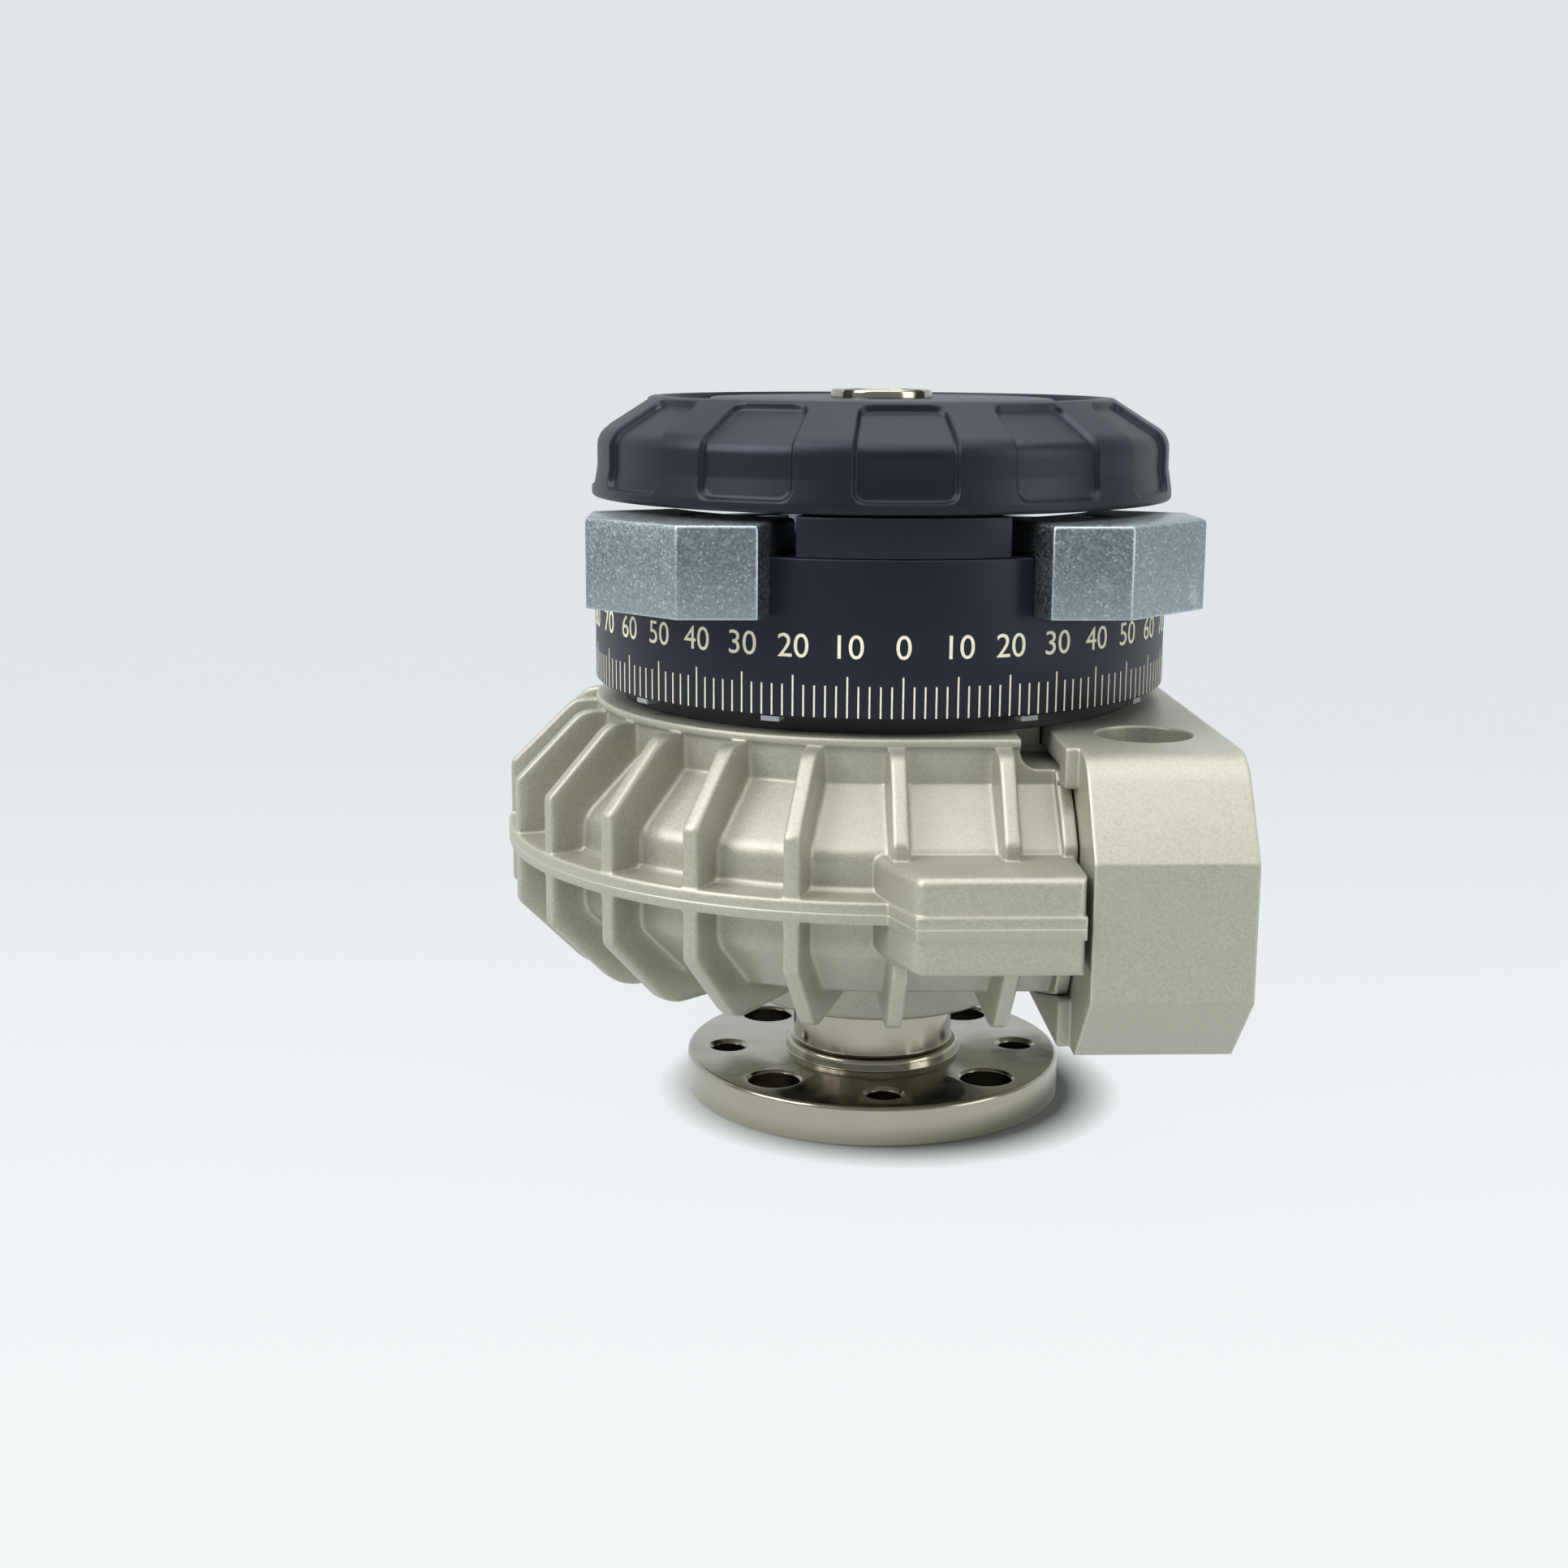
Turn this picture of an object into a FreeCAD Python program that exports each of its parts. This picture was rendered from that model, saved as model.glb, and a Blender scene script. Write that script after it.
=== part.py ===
import FreeCAD
import Part
import math
import os

# Rotary vane actuator with a flanged hollow shaft, a die-cast split housing,
# a port block, a graduated ring with two sliding stops and a turning cap.
# Millimetres, +Z up along the shaft, origin at the centre of the flange's
# underside. The front, where the scale reads zero, faces -Y, and the port
# block is on the +X side. An angle "phi" is counted from the front (-Y)
# towards +X.

Vector = FreeCAD.Vector

# Clearances
press_gap = 0.02
run_gap = 0.03
slide_gap = 0.1
screw_gap = 0.05
moving_gap = 0.3

# Output flange and shaft
flange_radius = 34.0
flange_thickness = 7.0
flange_top_chamfer = 0.7
flange_bottom_chamfer = 0.4
bolt_circle_radius = 26.5
tapped_hole_radius = 2.5
tapped_hole_chamfer = 1.15
clear_hole_radius = 4.5
clear_hole_chamfer = 0.4
flange_hole_count = 8
shaft_bore_radius = 4.0
neck_radius = 14.45
neck_bead_radius = 15.85
neck_bead_height = 2.4
shaft_middle_radius = 12.5
shaft_upper_radius = 10.0
shaft_thread_radius = 6.0
shaft_end_below_nut = 0.4
neck_gap = 11.9

# Housing halves: round in plan on the -X side, straight on towards the port
# block on the +X side
lower_height = 30.5
upper_height = 24.0
chamber_path_radius = 34.5
chamber_radius = 18.5
side_wall = 6.3
floor_wall = 2.8
skin_corner_round = 4.0
upper_corner_height = 7.6
lower_corner_drop = 8.0
wall_inset = 10.0
fold_height = 16.7
floor_outer_drop = 17.2
parting_flange_overhang = 6.5
parting_flange_half = 1.8
parting_fillet = 1.6
lip_overhang = 0.7
lip_height = 1.4
neck_foot_radius = 23.1
joint_plane_x = 26.2
lip_end_x = 19.3
lip_end_drop = 4.9
lip_end_round = 3.0
lip_notch_inner_y = 41.0

# Ribs of the housing halves
rib_pitch = 14.83
ribs_each_side = 6
straight_rib_x = 15.95
rib_height = 6.1
lug_rib_height = 3.9
rib_tip_width = 2.6
rib_root_width = 2.9
rib_round = 0.6
rib_corner_round = 5.0
upper_rib_straight = 9.4
upper_rib_shoulder = 4.7
lug_rib_straight = 8.1
lug_rib_shoulder = 4.2
lower_rib_straight = 8.3
lower_rib_shoulder = 3.4
rib_below_floor = 1.6

# End flanges and lugs of the housing halves
end_flange_thickness = 2.1
end_flange_proud = 1.3
end_flange_knee = 1.5
end_flange_top_proud = 1.0
end_flange_lower_inset = 3.8
end_flange_lower_drop = 15.8
end_flange_floor_cover = 0.4
lug_reach = 14.7
lug_half_height = 7.6
lug_left_x = 0.4
lug_slant_x = -4.4
lug_root_overlap = 4.0
lug_round = 1.6
lug_band_proud = 0.35
lug_screw_x = (7.0, 19.4)
lug_screw_inset = 5.0
lug_pin_x = 13.2
dowel_radius = 2.0
dowel_half_length = 4.5
housing_screw_radius = 2.0
housing_screw_head_radius = 3.5
housing_screw_head_height = 4.0
housing_screw_grip = 3.2
housing_screw_reach = 5.0
screw_end_gap = 0.5
seal_groove_offset = 3.2
seal_groove_width = 1.6
seal_groove_depth = 1.2
seal_end_x = 23.5

# Port block
block_left_x = 26.6
block_right_x = 51.3
block_short_of_lug = 0.8
block_upper_facet_height = 14.7
block_upper_facet_run = 10.6
block_lower_facet_height = 12.0
block_lower_facet_run = 12.0
block_top_round = 9.0
block_edge_round = 0.6
tab_thickness = 2.1
tab_half_length = 57.3
top_tab_height = 3.4
tab_gap = 0.3
seat_margin = 0.9
mount_hole_x = 39.0
mount_hole_y = 45.1
mount_hole_radius = 4.5
mount_counterbore_radius = 7.7
mount_counterbore_depth = 9.0
port_y = 31.0
port_radius = 5.9
port_depth = 13.0
port_spot_radius = 9.0
port_spot_depth = 0.5
passage_radius = 4.0
block_screw_beyond_skin = 2.2
block_screw_offset_z = 4.4
block_screw_radius = 2.0
block_screw_head_radius = 3.5
block_screw_head_height = 4.0
block_screw_seat_x = 40.0
block_screw_end_x = 12.0
port_seal_inside_divider = 1.0
port_seal_beyond_chamber = 3.9
port_seal_above_chamber = 0.8
port_seal_corner = 15.0
port_seal_inner_corner = 2.0
port_seal_width = 1.0
port_seal_depth = 1.0

# Bearings and shaft seals
lower_bearing_outer_radius = 18.5
lower_bearing_width = 7.0
lower_bearing_ball_radius = 1.75
lower_bearing_ball_count = 12
upper_bearing_outer_radius = 16.0
upper_bearing_width = 7.0
upper_bearing_ball_radius = 1.6
upper_bearing_ball_count = 11
race_gap = 0.05
race_land_share = 0.62
cage_half_height = 2.4
cage_half_thickness = 0.45
circlip_thickness = 1.2
circlip_groove_depth = 1.0
circlip_width = 3.0
circlip_open_half_angle = 14.0
lower_seal_height = 4.2
upper_seal_height = 2.6
seal_shell_thickness = 1.0
web_bore_radius = 13.4
web_relief_radius = 16.6
web_relief_depth = 0.8

# Vane
hub_radius = 18.0
hub_half_height = 11.2
vane_clearance = 0.45
vane_half_angle = 26.0
vane_seal_half_angle = 17.0
vane_seal_angle_width = 6.0
vane_seal_depth = 2.0
vane_seal_proud = 0.35
vane_pocket_radius = 9.0
vane_pocket_depth_angle = 9.0
hub_seal_radius = 15.4
hub_seal_width = 1.6
hub_seal_depth = 1.3
vane_key_width = 5.0
vane_key_half_length = 8.0
vane_key_depth = 2.5
divider_half_width = 15.0
divider_inner_x = 8.0
divider_half_angle = 60.0
divider_seal_half_width = 1.5
divider_seal_depth = 2.0

# Stop carrier and scale ring
ring_gap = 3.0
ring_height = 25.1
ring_radius = 50.0
ring_edge_chamfer = 0.4
slot_inset = 5.5
slot_path_radius = ring_radius - slot_inset
slot_width = 4.4
slot_lip_thickness = 4.0
slot_cavity_width = 6.6
slot_cavity_height = 5.0
slot_inner_wall = 1.0
ring_inner_radius = slot_path_radius - slot_cavity_width / 2.0 - slot_inner_wall
ring_flange_width = 7.2
ring_flange_inner_radius = ring_inner_radius - ring_flange_width
ring_flange_thickness = 3.0
carrier_neck_inset = 5.0
carrier_neck_radius = ring_radius - carrier_neck_inset
carrier_base_thickness = 5.0
carrier_wall_inner_radius = ring_flange_inner_radius
carrier_bore_radius = 12.0
carrier_screw_circle = 21.5
carrier_screw_radius = 2.0
carrier_screw_head_radius = 3.5
carrier_screw_head_height = 4.0
carrier_screw_depth = 5.6
carrier_screw_count = 4
ring_screw_inset = 3.8
ring_screw_circle = ring_inner_radius - ring_screw_inset
ring_screw_radius = 1.5
ring_screw_head_radius = 2.8
ring_screw_head_height = 1.6
ring_screw_length = 9.0
ring_screw_angles = (75.0, 135.0, 225.0, 285.0)
pad_angles = (-56.0, -24.5, 24.5, 56.0, 124.0, 155.5, 204.5, 236.0)
pad_inset = 0.3
pad_length = 2.4
pad_radius_outer = ring_radius - pad_inset
pad_radius_inner = pad_radius_outer - pad_length
pad_width = 3.0
pad_height = 0.8
pad_stem_radius = 0.8
pad_stem_length = 2.0

# Raised front segment
segment_height = 6.4
segment_half_angle = 19.55
segment_step = 0.6
segment_inner_radius = ring_flange_inner_radius + segment_step
segment_screw_inset = 3.2
segment_screw_circle = ring_inner_radius - segment_screw_inset
segment_screw_angle = 11.0
segment_screw_radius = 2.0
segment_screw_head_radius = 3.5
segment_screw_head_height = 4.0
segment_screw_length = 13.0

# Sliding stops, seen from above in the half with positive x
stop_skirt_below_ring_top = 9.3
stop_top_above_ring = 5.3
stop_inside_slot = 5.0
stop_inner_radius = slot_path_radius - stop_inside_slot
stop_near_phi = 24.6
stop_front_beyond_ring = 0.5
stop_face_beyond_ring = 0.4
stop_facet_run = 15.3
stop_front_distance = ring_radius + stop_front_beyond_ring
stop_face_distance = ring_radius + stop_face_beyond_ring
stop_facet_start = stop_front_distance - stop_facet_run
stop_chamfer = 0.8
stop_chamfer_zone = 6.0
stop_centre_phi = 45.0
clamp_half_angle = 7.0
clamp_thickness = 3.9
clamp_screw_radius = 2.0
clamp_screw_head_radius = 3.5
clamp_screw_head_height = 3.6

# Stop lever
lever_hub_radius = 16.0
lever_hub_height = 7.2
lever_arm_height = 5.9
lever_phi = 180.0
lever_beyond_slot = 1.7
lever_radius = slot_path_radius + lever_beyond_slot
stop_swing = 90.0
lever_stop_gap_angle = 0.4
cushion_thickness_angle = 3.0
cushion_inside_stop = 0.3
cushion_edge = 0.6
cushion_inner_radius = stop_inner_radius + cushion_inside_stop
cushion_outer_radius = lever_radius - cushion_edge
lever_key_width = 4.0
lever_key_depth = 2.0
lever_key_height = 5.0

# Cap
cap_lip_radius = 50.4
cap_lip_height = 1.6
cap_draft_height = 5.4
cap_shoulder_round = 4.0
cap_rim_round = 1.0
cap_radius = 49.75
cap_wall_top = 10.8
cap_slope_height = 5.95
cap_rim_radius = 42.3
cap_rim_inner_radius = 40.0
cap_shell = 2.4
cap_channel_depth = 3.9
cap_disc_radius = 33.0
cap_disc_above_rim = 0.4
cap_hub_radius = 15.5
cap_seat_below_disc = 13.3
pocket_count = 12
pocket_half_angle = 9.7
pocket_depth = 1.2
pocket_bottom_above_lip = 0.6
pocket_round = 1.8
pocket_top_margin = 0.7
nut_radius = 8.8
nut_height = 1.8
nut_slot_width = 2.4
nut_slot_depth = 1.3
nut_slot_count = 4
pointer_inner_radius = 24.0
pointer_outer_radius = 30.0
pointer_half_width = 2.6
pointer_height = 0.4

# Radii and reaches that follow from the sizes above
skin_side_radius = chamber_path_radius + chamber_radius + side_wall
wall_radius = skin_side_radius - wall_inset
lip_radius = wall_radius + lip_overhang
parting_flange_radius = skin_side_radius + parting_flange_overhang
rib_radius = skin_side_radius + rib_height
lug_rib_radius = skin_side_radius + lug_rib_height
lug_front = skin_side_radius + lug_reach
lug_screw_y = lug_front - lug_screw_inset
seal_groove_radius = chamber_path_radius + chamber_radius + seal_groove_offset
block_half_length = lug_front - block_short_of_lug
block_screw_y = skin_side_radius + block_screw_beyond_skin
chamber_end_y = math.sqrt((chamber_path_radius + chamber_radius) ** 2 - joint_plane_x ** 2)
port_seal_inner_y = divider_half_width - port_seal_inside_divider
port_seal_outer_y = chamber_end_y + port_seal_beyond_chamber
port_seal_half_height = chamber_radius + port_seal_above_chamber
tab_left_x = block_left_x - tab_thickness
half_cut_reach = lug_front + 10.0

# Heights that follow from the sizes above
flange_top_z = flange_thickness
housing_bottom_z = flange_top_z + neck_gap
parting_z = housing_bottom_z + lower_height
housing_top_z = parting_z + upper_height
floor_inner_z = parting_z - chamber_radius - floor_wall
floor_outer_z = parting_z - floor_outer_drop
rib_floor_z = floor_inner_z - rib_below_floor
lip_bottom_z = housing_top_z - lip_height
block_bottom_z = 2.0 * parting_z - housing_top_z
top_tab_z = housing_top_z - top_tab_height
ring_bottom_z = housing_top_z + ring_gap
ring_top_z = ring_bottom_z + ring_height
segment_top_z = ring_top_z + segment_height
cap_bottom_z = segment_top_z + moving_gap
cap_lip_top_z = cap_bottom_z + cap_lip_height
cap_draft_top_z = cap_bottom_z + cap_draft_height
cap_wall_top_z = cap_bottom_z + cap_wall_top
cap_rim_z = cap_wall_top_z + cap_slope_height
cap_disc_z = cap_rim_z + cap_disc_above_rim
cap_channel_z = cap_rim_z - cap_channel_depth
cap_seat_z = cap_disc_z - cap_seat_below_disc
nut_top_z = cap_disc_z + nut_height
lower_seal_z = housing_bottom_z + 0.4
circlip_z = lower_seal_z + lower_seal_height + 0.3
lower_bearing_z = circlip_z + circlip_thickness
lower_shoulder_z = lower_bearing_z + lower_bearing_width
hub_top_z = parting_z + hub_half_height
hub_bottom_z = parting_z - hub_half_height
upper_bearing_z = housing_top_z - upper_seal_height - 0.6 - upper_bearing_width
carrier_floor_z = housing_top_z + carrier_base_thickness
ring_flange_z = ring_top_z - ring_flange_thickness
slot_cavity_top_z = ring_top_z - slot_lip_thickness
stop_top_z = ring_top_z + stop_top_above_ring
lever_bottom_z = ring_top_z + moving_gap
lever_hub_top_z = lever_bottom_z + lever_hub_height


def polar(radius, phi, z):
    """Point at a radius and an angle phi from the front."""
    angle = math.radians(phi)
    return Vector(radius * math.sin(angle), -radius * math.cos(angle), z)


def turned(shape, angle):
    """Copy of a shape turned about the shaft axis."""
    copy = shape.copy()
    copy.rotate(Vector(0, 0, 0), Vector(0, 0, 1), angle)
    return copy


def mirrored(shape):
    """Copy of a shape on the other side of the plane x = 0."""
    return shape.mirror(Vector(0, 0, 0), Vector(1, 0, 0))


def mirrored_to_back(shape):
    """Copy of a shape on the other side of the plane y = 0."""
    return shape.mirror(Vector(0, 0, 0), Vector(0, 1, 0))


def disc(radius, z_low, z_high):
    """Upright cylinder on the shaft axis."""
    return Part.makeCylinder(radius, z_high - z_low, Vector(0, 0, z_low))


def ring(inner, outer, z_low, z_high):
    """Upright tube on the shaft axis."""
    return disc(outer, z_low, z_high).cut(disc(inner, z_low - 1, z_high + 1))


def post(radius, x, y, z_low, z_high):
    """Upright cylinder at a point."""
    return Part.makeCylinder(radius, z_high - z_low, Vector(x, y, z_low))


def bar_x(radius, x_low, x_high, y, z):
    """Cylinder along X."""
    return Part.makeCylinder(radius, x_high - x_low, Vector(x_low, y, z), Vector(1, 0, 0))


def box(x_low, x_high, y_low, y_high, z_low, z_high):
    """Box between two corners."""
    corner = Vector(x_low, y_low, z_low)
    return Part.makeBox(x_high - x_low, y_high - y_low, z_high - z_low, corner)


def section(points):
    """Closed outline of (radius, z) points as a face in the XZ plane."""
    corners = [Vector(radius, 0, z) for radius, z in points]
    return Part.Face(Part.makePolygon(corners + corners[:1]))


def toward(start, end, length):
    """Point at a distance from one (radius, z) point towards another."""
    share = length / math.hypot(end[0] - start[0], end[1] - start[1])
    return (start[0] + (end[0] - start[0]) * share, start[1] + (end[1] - start[1]) * share)


def corner_round(before, corner, after, round_radius):
    """Start, middle and end of the arc that rounds one corner of an outline."""
    first = toward(corner, before, 1.0)
    second = toward(corner, after, 1.0)
    half = math.acos(((first[0] - corner[0]) * (second[0] - corner[0])
                      + (first[1] - corner[1]) * (second[1] - corner[1]))) / 2.0
    reach = round_radius / math.tan(half)
    bisector = ((first[0] + second[0]) / 2.0, (first[1] + second[1]) / 2.0)
    depth = round_radius / math.sin(half) - round_radius
    return toward(corner, before, reach), toward(corner, bisector, depth), toward(corner, after, reach)


def rounded_section(points):
    """Closed outline of (radius, z, corner radius) points as a face in the XZ plane."""
    count = len(points)
    corners = []
    for index in range(count):
        before = points[index - 1]
        corner = points[index]
        after = points[(index + 1) % count]
        if corner[2] > 0:
            corners.append(corner_round(before[:2], corner[:2], after[:2], corner[2]))
        else:
            corners.append((corner[:2], None, corner[:2]))
    edges = []
    for index in range(count):
        start, middle, end = corners[index]
        if middle is not None:
            edges.append(arc(start, middle, end))
        edges.append(line(end, corners[(index + 1) % count][0]))
    return edge_path(edges)


def spun_rounded(points, angle=360.0):
    """Solid made by turning a rounded outline about the shaft axis."""
    return rounded_section(points).revolve(Vector(0, 0, 0), Vector(0, 0, 1), angle)


def spun(points, angle=360.0):
    """Solid made by turning an outline of (radius, z) points about the shaft axis."""
    return section(points).revolve(Vector(0, 0, 0), Vector(0, 0, 1), angle)


def edge_path(items):
    """Face in the XZ plane from a list of edges."""
    return Part.Face(Part.Wire(items))


def line(start, end):
    """Straight edge between two (radius, z) points."""
    return Part.makeLine(Vector(start[0], 0, start[1]), Vector(end[0], 0, end[1]))


def arc(start, middle, end):
    """Arc through three (radius, z) points."""
    points = [Vector(radius, 0, z) for radius, z in (start, middle, end)]
    return Part.Arc(points[0], points[1], points[2]).toShape()


def sector(inner, outer, z_low, z_high, phi_low, phi_high):
    """Part of an upright tube between two angles."""
    span = phi_high - phi_low
    outline = [(inner, z_low), (outer, z_low), (outer, z_high), (inner, z_high)]
    return turned(spun(outline, span), phi_low - 90.0)


def prism(points, z_low, z_high):
    """Plan outline of (x, y) points pulled up between two heights."""
    corners = [Vector(x, y, z_low) for x, y in points]
    face = Part.Face(Part.makePolygon(corners + corners[:1]))
    return face.extrude(Vector(0, 0, z_high - z_low))


def side_prism(points, x_low, x_high):
    """Outline of (y, z) points pulled along X between two places."""
    corners = [Vector(x_low, y, z) for y, z in points]
    face = Part.Face(Part.makePolygon(corners + corners[:1]))
    return face.extrude(Vector(x_high - x_low, 0, 0))


def placed(shape, position, direction):
    """Copy of a shape whose +Z is laid along a direction at a position."""
    copy = shape.copy()
    turn = FreeCAD.Rotation(Vector(0, 0, 1), direction)
    copy.Placement = FreeCAD.Placement(position, turn)
    return copy


def socket_screw(radius, head_radius, head_height, length):
    """Socket head screw: seat at the origin, head towards +Z, shank towards -Z."""
    head = Part.makeCylinder(head_radius, head_height)
    shank = Part.makeCylinder(radius, length, Vector(0, 0, -length))
    hexagon = []
    for corner in range(6):
        angle = math.radians(60.0 * corner)
        hexagon.append((head_radius * 0.5 * math.cos(angle), head_radius * 0.5 * math.sin(angle)))
    socket = prism(hexagon, head_height * 0.45, head_height + 1.0)
    edge = [e for e in head.Edges if e.BoundBox.ZMin > head_height - 0.01 and e.Closed]
    head = head.makeChamfer(head_radius * 0.08, edge[:1])
    return head.fuse(shank).cut(socket)


def torus_slice(radius, phi_low, phi_high):
    """Round bar of the chamber's path between two angles."""
    circle = Part.makeCircle(radius, Vector(chamber_path_radius, 0, parting_z), Vector(0, 1, 0))
    face = Part.Face(Part.Wire([circle]))
    solid = face.revolve(Vector(0, 0, 0), Vector(0, 0, 1), phi_high - phi_low)
    return turned(solid, phi_low - 90.0)


def drawn_round(face, straight):
    """Section drawn along the housing's path: round on the -X side, straight on towards +X."""
    back = turned(face, 90.0)
    front = turned(face, -90.0)
    around = back.revolve(Vector(0, 0, 0), Vector(0, 0, 1), 180.0)
    along = Vector(straight, 0, 0)
    return around.fuse([back.extrude(along), front.extrude(along)]).removeSplitter()


def upper_shell():
    """Upper half before its ribs, lugs and bores."""
    flange_top = parting_z + parting_flange_half
    return drawn_round(rounded_section([
        (0.0, parting_z, 0.0),
        (parting_flange_radius, parting_z, 0.0),
        (parting_flange_radius, flange_top, 0.0),
        (skin_side_radius, flange_top, parting_fillet),
        (skin_side_radius, parting_z + upper_corner_height, skin_corner_round),
        (wall_radius, parting_z + fold_height, 0.0),
        (wall_radius, lip_bottom_z, 0.0),
        (lip_radius, lip_bottom_z, 0.0),
        (lip_radius, housing_top_z, 0.0),
        (0.0, housing_top_z, 0.0),
    ]), joint_plane_x)


def lower_shell():
    """Lower half before its ribs, lugs and bores, with its round neck."""
    flange_bottom = parting_z - parting_flange_half
    body = drawn_round(rounded_section([
        (0.0, floor_inner_z, 0.0),
        (chamber_path_radius, floor_inner_z, 0.0),
        (wall_radius, floor_outer_z, 0.0),
        (skin_side_radius, parting_z - lower_corner_drop, skin_corner_round),
        (skin_side_radius, flange_bottom, parting_fillet),
        (parting_flange_radius, flange_bottom, 0.0),
        (parting_flange_radius, parting_z, 0.0),
        (0.0, parting_z, 0.0),
    ]), joint_plane_x)
    return body.fuse(disc(neck_foot_radius, housing_bottom_z, floor_inner_z + floor_wall))


def rib(points):
    """Tapered rib at phi = 0 from its outline of (radius, z, corner radius) points.

    The outline starts at the parting flange and ends at the rib's inner end,
    and its outer edges are rounded.
    """
    foot = points[0][1]
    inner = points[-1][0]
    outer = points[0][0]
    closed = points + [(inner, foot, 0.0)]
    face = turned(rounded_section(closed), -90.0)
    face.translate(Vector(-rib_root_width, 0, 0))
    plate = face.extrude(Vector(2 * rib_root_width, 0, 0))
    tip = rib_tip_width / 2.0
    taper = (rib_root_width - rib_tip_width) / 2.0 / (outer - wall_radius)
    root = tip + taper * (outer - inner)
    plan = [(-root, -inner), (root, -inner), (tip, -outer), (-tip, -outer)]
    heights = [point[1] for point in points]
    solid = plate.common(prism(plan, min(heights) - 1, max(heights) + 1))
    return solid.makeFillet(rib_round, outer_rib_edges(solid, inner, foot))


def outer_rib_edges(solid, inner, foot):
    """The long edges of a rib, apart from those at its inner end and at its foot."""
    near = 0.02
    chosen = []
    for edge in solid.Edges:
        middle = edge.CenterOfMass
        on_flank = abs(middle.x) > near
        outside = -middle.y > inner + near and abs(middle.z - foot) > near
        if on_flank and outside:
            chosen.append(edge)
    return chosen


def upper_rib(outer, straight, shoulder):
    """Rib of the upper half: straight up, sloping in, then level to the lip."""
    flange_top = parting_z + parting_flange_half
    return rib([
        (outer, flange_top - parting_flange_half / 2.0, 0.0),
        (outer, flange_top + straight, 0.0),
        (wall_radius + shoulder, lip_bottom_z, rib_corner_round),
        (wall_radius - wall_inset / 2.0, lip_bottom_z, 0.0),
    ])


def lower_rib(inner):
    """Rib of the lower half: straight down, sloping in, then level below the floor to the neck."""
    flange_bottom = parting_z - parting_flange_half
    return rib([
        (rib_radius, flange_bottom + parting_flange_half / 2.0, 0.0),
        (rib_radius, flange_bottom - lower_rib_straight, 0.0),
        (wall_radius + lower_rib_shoulder, rib_floor_z, rib_corner_round),
        (inner, rib_floor_z, 0.0),
    ])


def rib_set(radial, beside_lug, straight):
    """All ribs of one half: radial ones on the -X side and a straight one in front and at the back."""
    ribs = []
    for index in range(-ribs_each_side, ribs_each_side + 1):
        shape = beside_lug if abs(index) == ribs_each_side else radial
        ribs.append(turned(shape, rib_pitch * index - 90.0))
    front = straight.copy()
    front.translate(Vector(straight_rib_x, 0, 0))
    return ribs + [front, mirrored_to_back(front)]


def upper_ribs():
    """Ribs of the upper half, lower and shorter over the lugs."""
    over_lug = upper_rib(lug_rib_radius, lug_rib_straight, lug_rib_shoulder)
    return rib_set(upper_rib(rib_radius, upper_rib_straight, upper_rib_shoulder), over_lug, over_lug)


def lower_ribs():
    """Ribs of the lower half, which end in the round neck."""
    radial = lower_rib(neck_foot_radius - 1.0)
    straight = lower_rib(math.sqrt(neck_foot_radius ** 2 - straight_rib_x ** 2) - 1.0)
    return rib_set(radial, radial, straight)


def end_flange_outline(sign, gap):
    """Outline of the end flange above (+1) or below (-1) the parting plane, as (y, z) points with y > 0."""
    side = skin_side_radius + end_flange_proud + gap
    if sign > 0:
        return [
            (side, parting_z + upper_corner_height + end_flange_knee),
            (wall_radius + end_flange_top_proud + gap, housing_top_z - lip_end_drop),
        ]
    cover = end_flange_floor_cover + gap
    return [
        (side, parting_z - lower_corner_drop),
        (skin_side_radius - end_flange_lower_inset, parting_z - end_flange_lower_drop - gap),
        (wall_radius, floor_outer_z - cover),
        (chamber_path_radius, floor_inner_z - cover),
    ]


def end_flange(sign):
    """Flange that closes one half against the port block."""
    outline = end_flange_outline(sign, 0.0)
    right = [(outline[0][0], parting_z)] + outline
    left = [(-y, z) for y, z in reversed(right)]
    return side_prism(right + left, joint_plane_x - end_flange_thickness, joint_plane_x)


def lug(sign):
    """Front lug of one half, with a slanted flank and rounded front edge."""
    z_far = parting_z + sign * lug_half_height
    z_low = min(parting_z, z_far)
    z_high = max(parting_z, z_far)
    back = skin_side_radius - lug_root_overlap
    plan = [
        (lug_slant_x - 3.0, -back),
        (lug_slant_x, -parting_flange_radius + 0.5),
        (lug_left_x, -lug_front),
        (joint_plane_x, -lug_front),
        (joint_plane_x, -back),
    ]
    solid = prism(plan, z_low, z_high)
    edges = []
    for edge in solid.Edges:
        centre = edge.BoundBox.Center
        on_face = abs(centre.z - z_far) < 0.01
        if on_face and (centre.y < -lug_front + 0.01 or centre.x < lug_left_x - 0.5):
            edges.append(edge)
    solid = solid.makeFillet(lug_round, edges)
    return solid.fuse(lug_band(plan, sign))


def lug_band(plan, sign):
    """Slightly proud band along the parting line of a lug."""
    z_far = parting_z + sign * parting_flange_half
    proud = lug_band_proud
    outline = [
        (plan[0][0] - proud, plan[0][1]),
        (plan[1][0] - proud, plan[1][1]),
        (plan[2][0] - proud * 0.6, plan[2][1] - proud),
        (plan[3][0], plan[3][1] - proud),
        plan[4],
    ]
    return prism(outline, min(parting_z, z_far), max(parting_z, z_far))


def both_lugs(sign):
    """Front lug and its mirror image at the back."""
    front = lug(sign)
    return [front, mirrored_to_back(front)]


def chamber():
    """Round annular space for the vane, with the pocket of its hub."""
    pocket = disc(hub_radius + slide_gap, hub_bottom_z - slide_gap, hub_top_z + slide_gap)
    return [torus_slice(chamber_radius, 0.0, 360.0), pocket]


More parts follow.
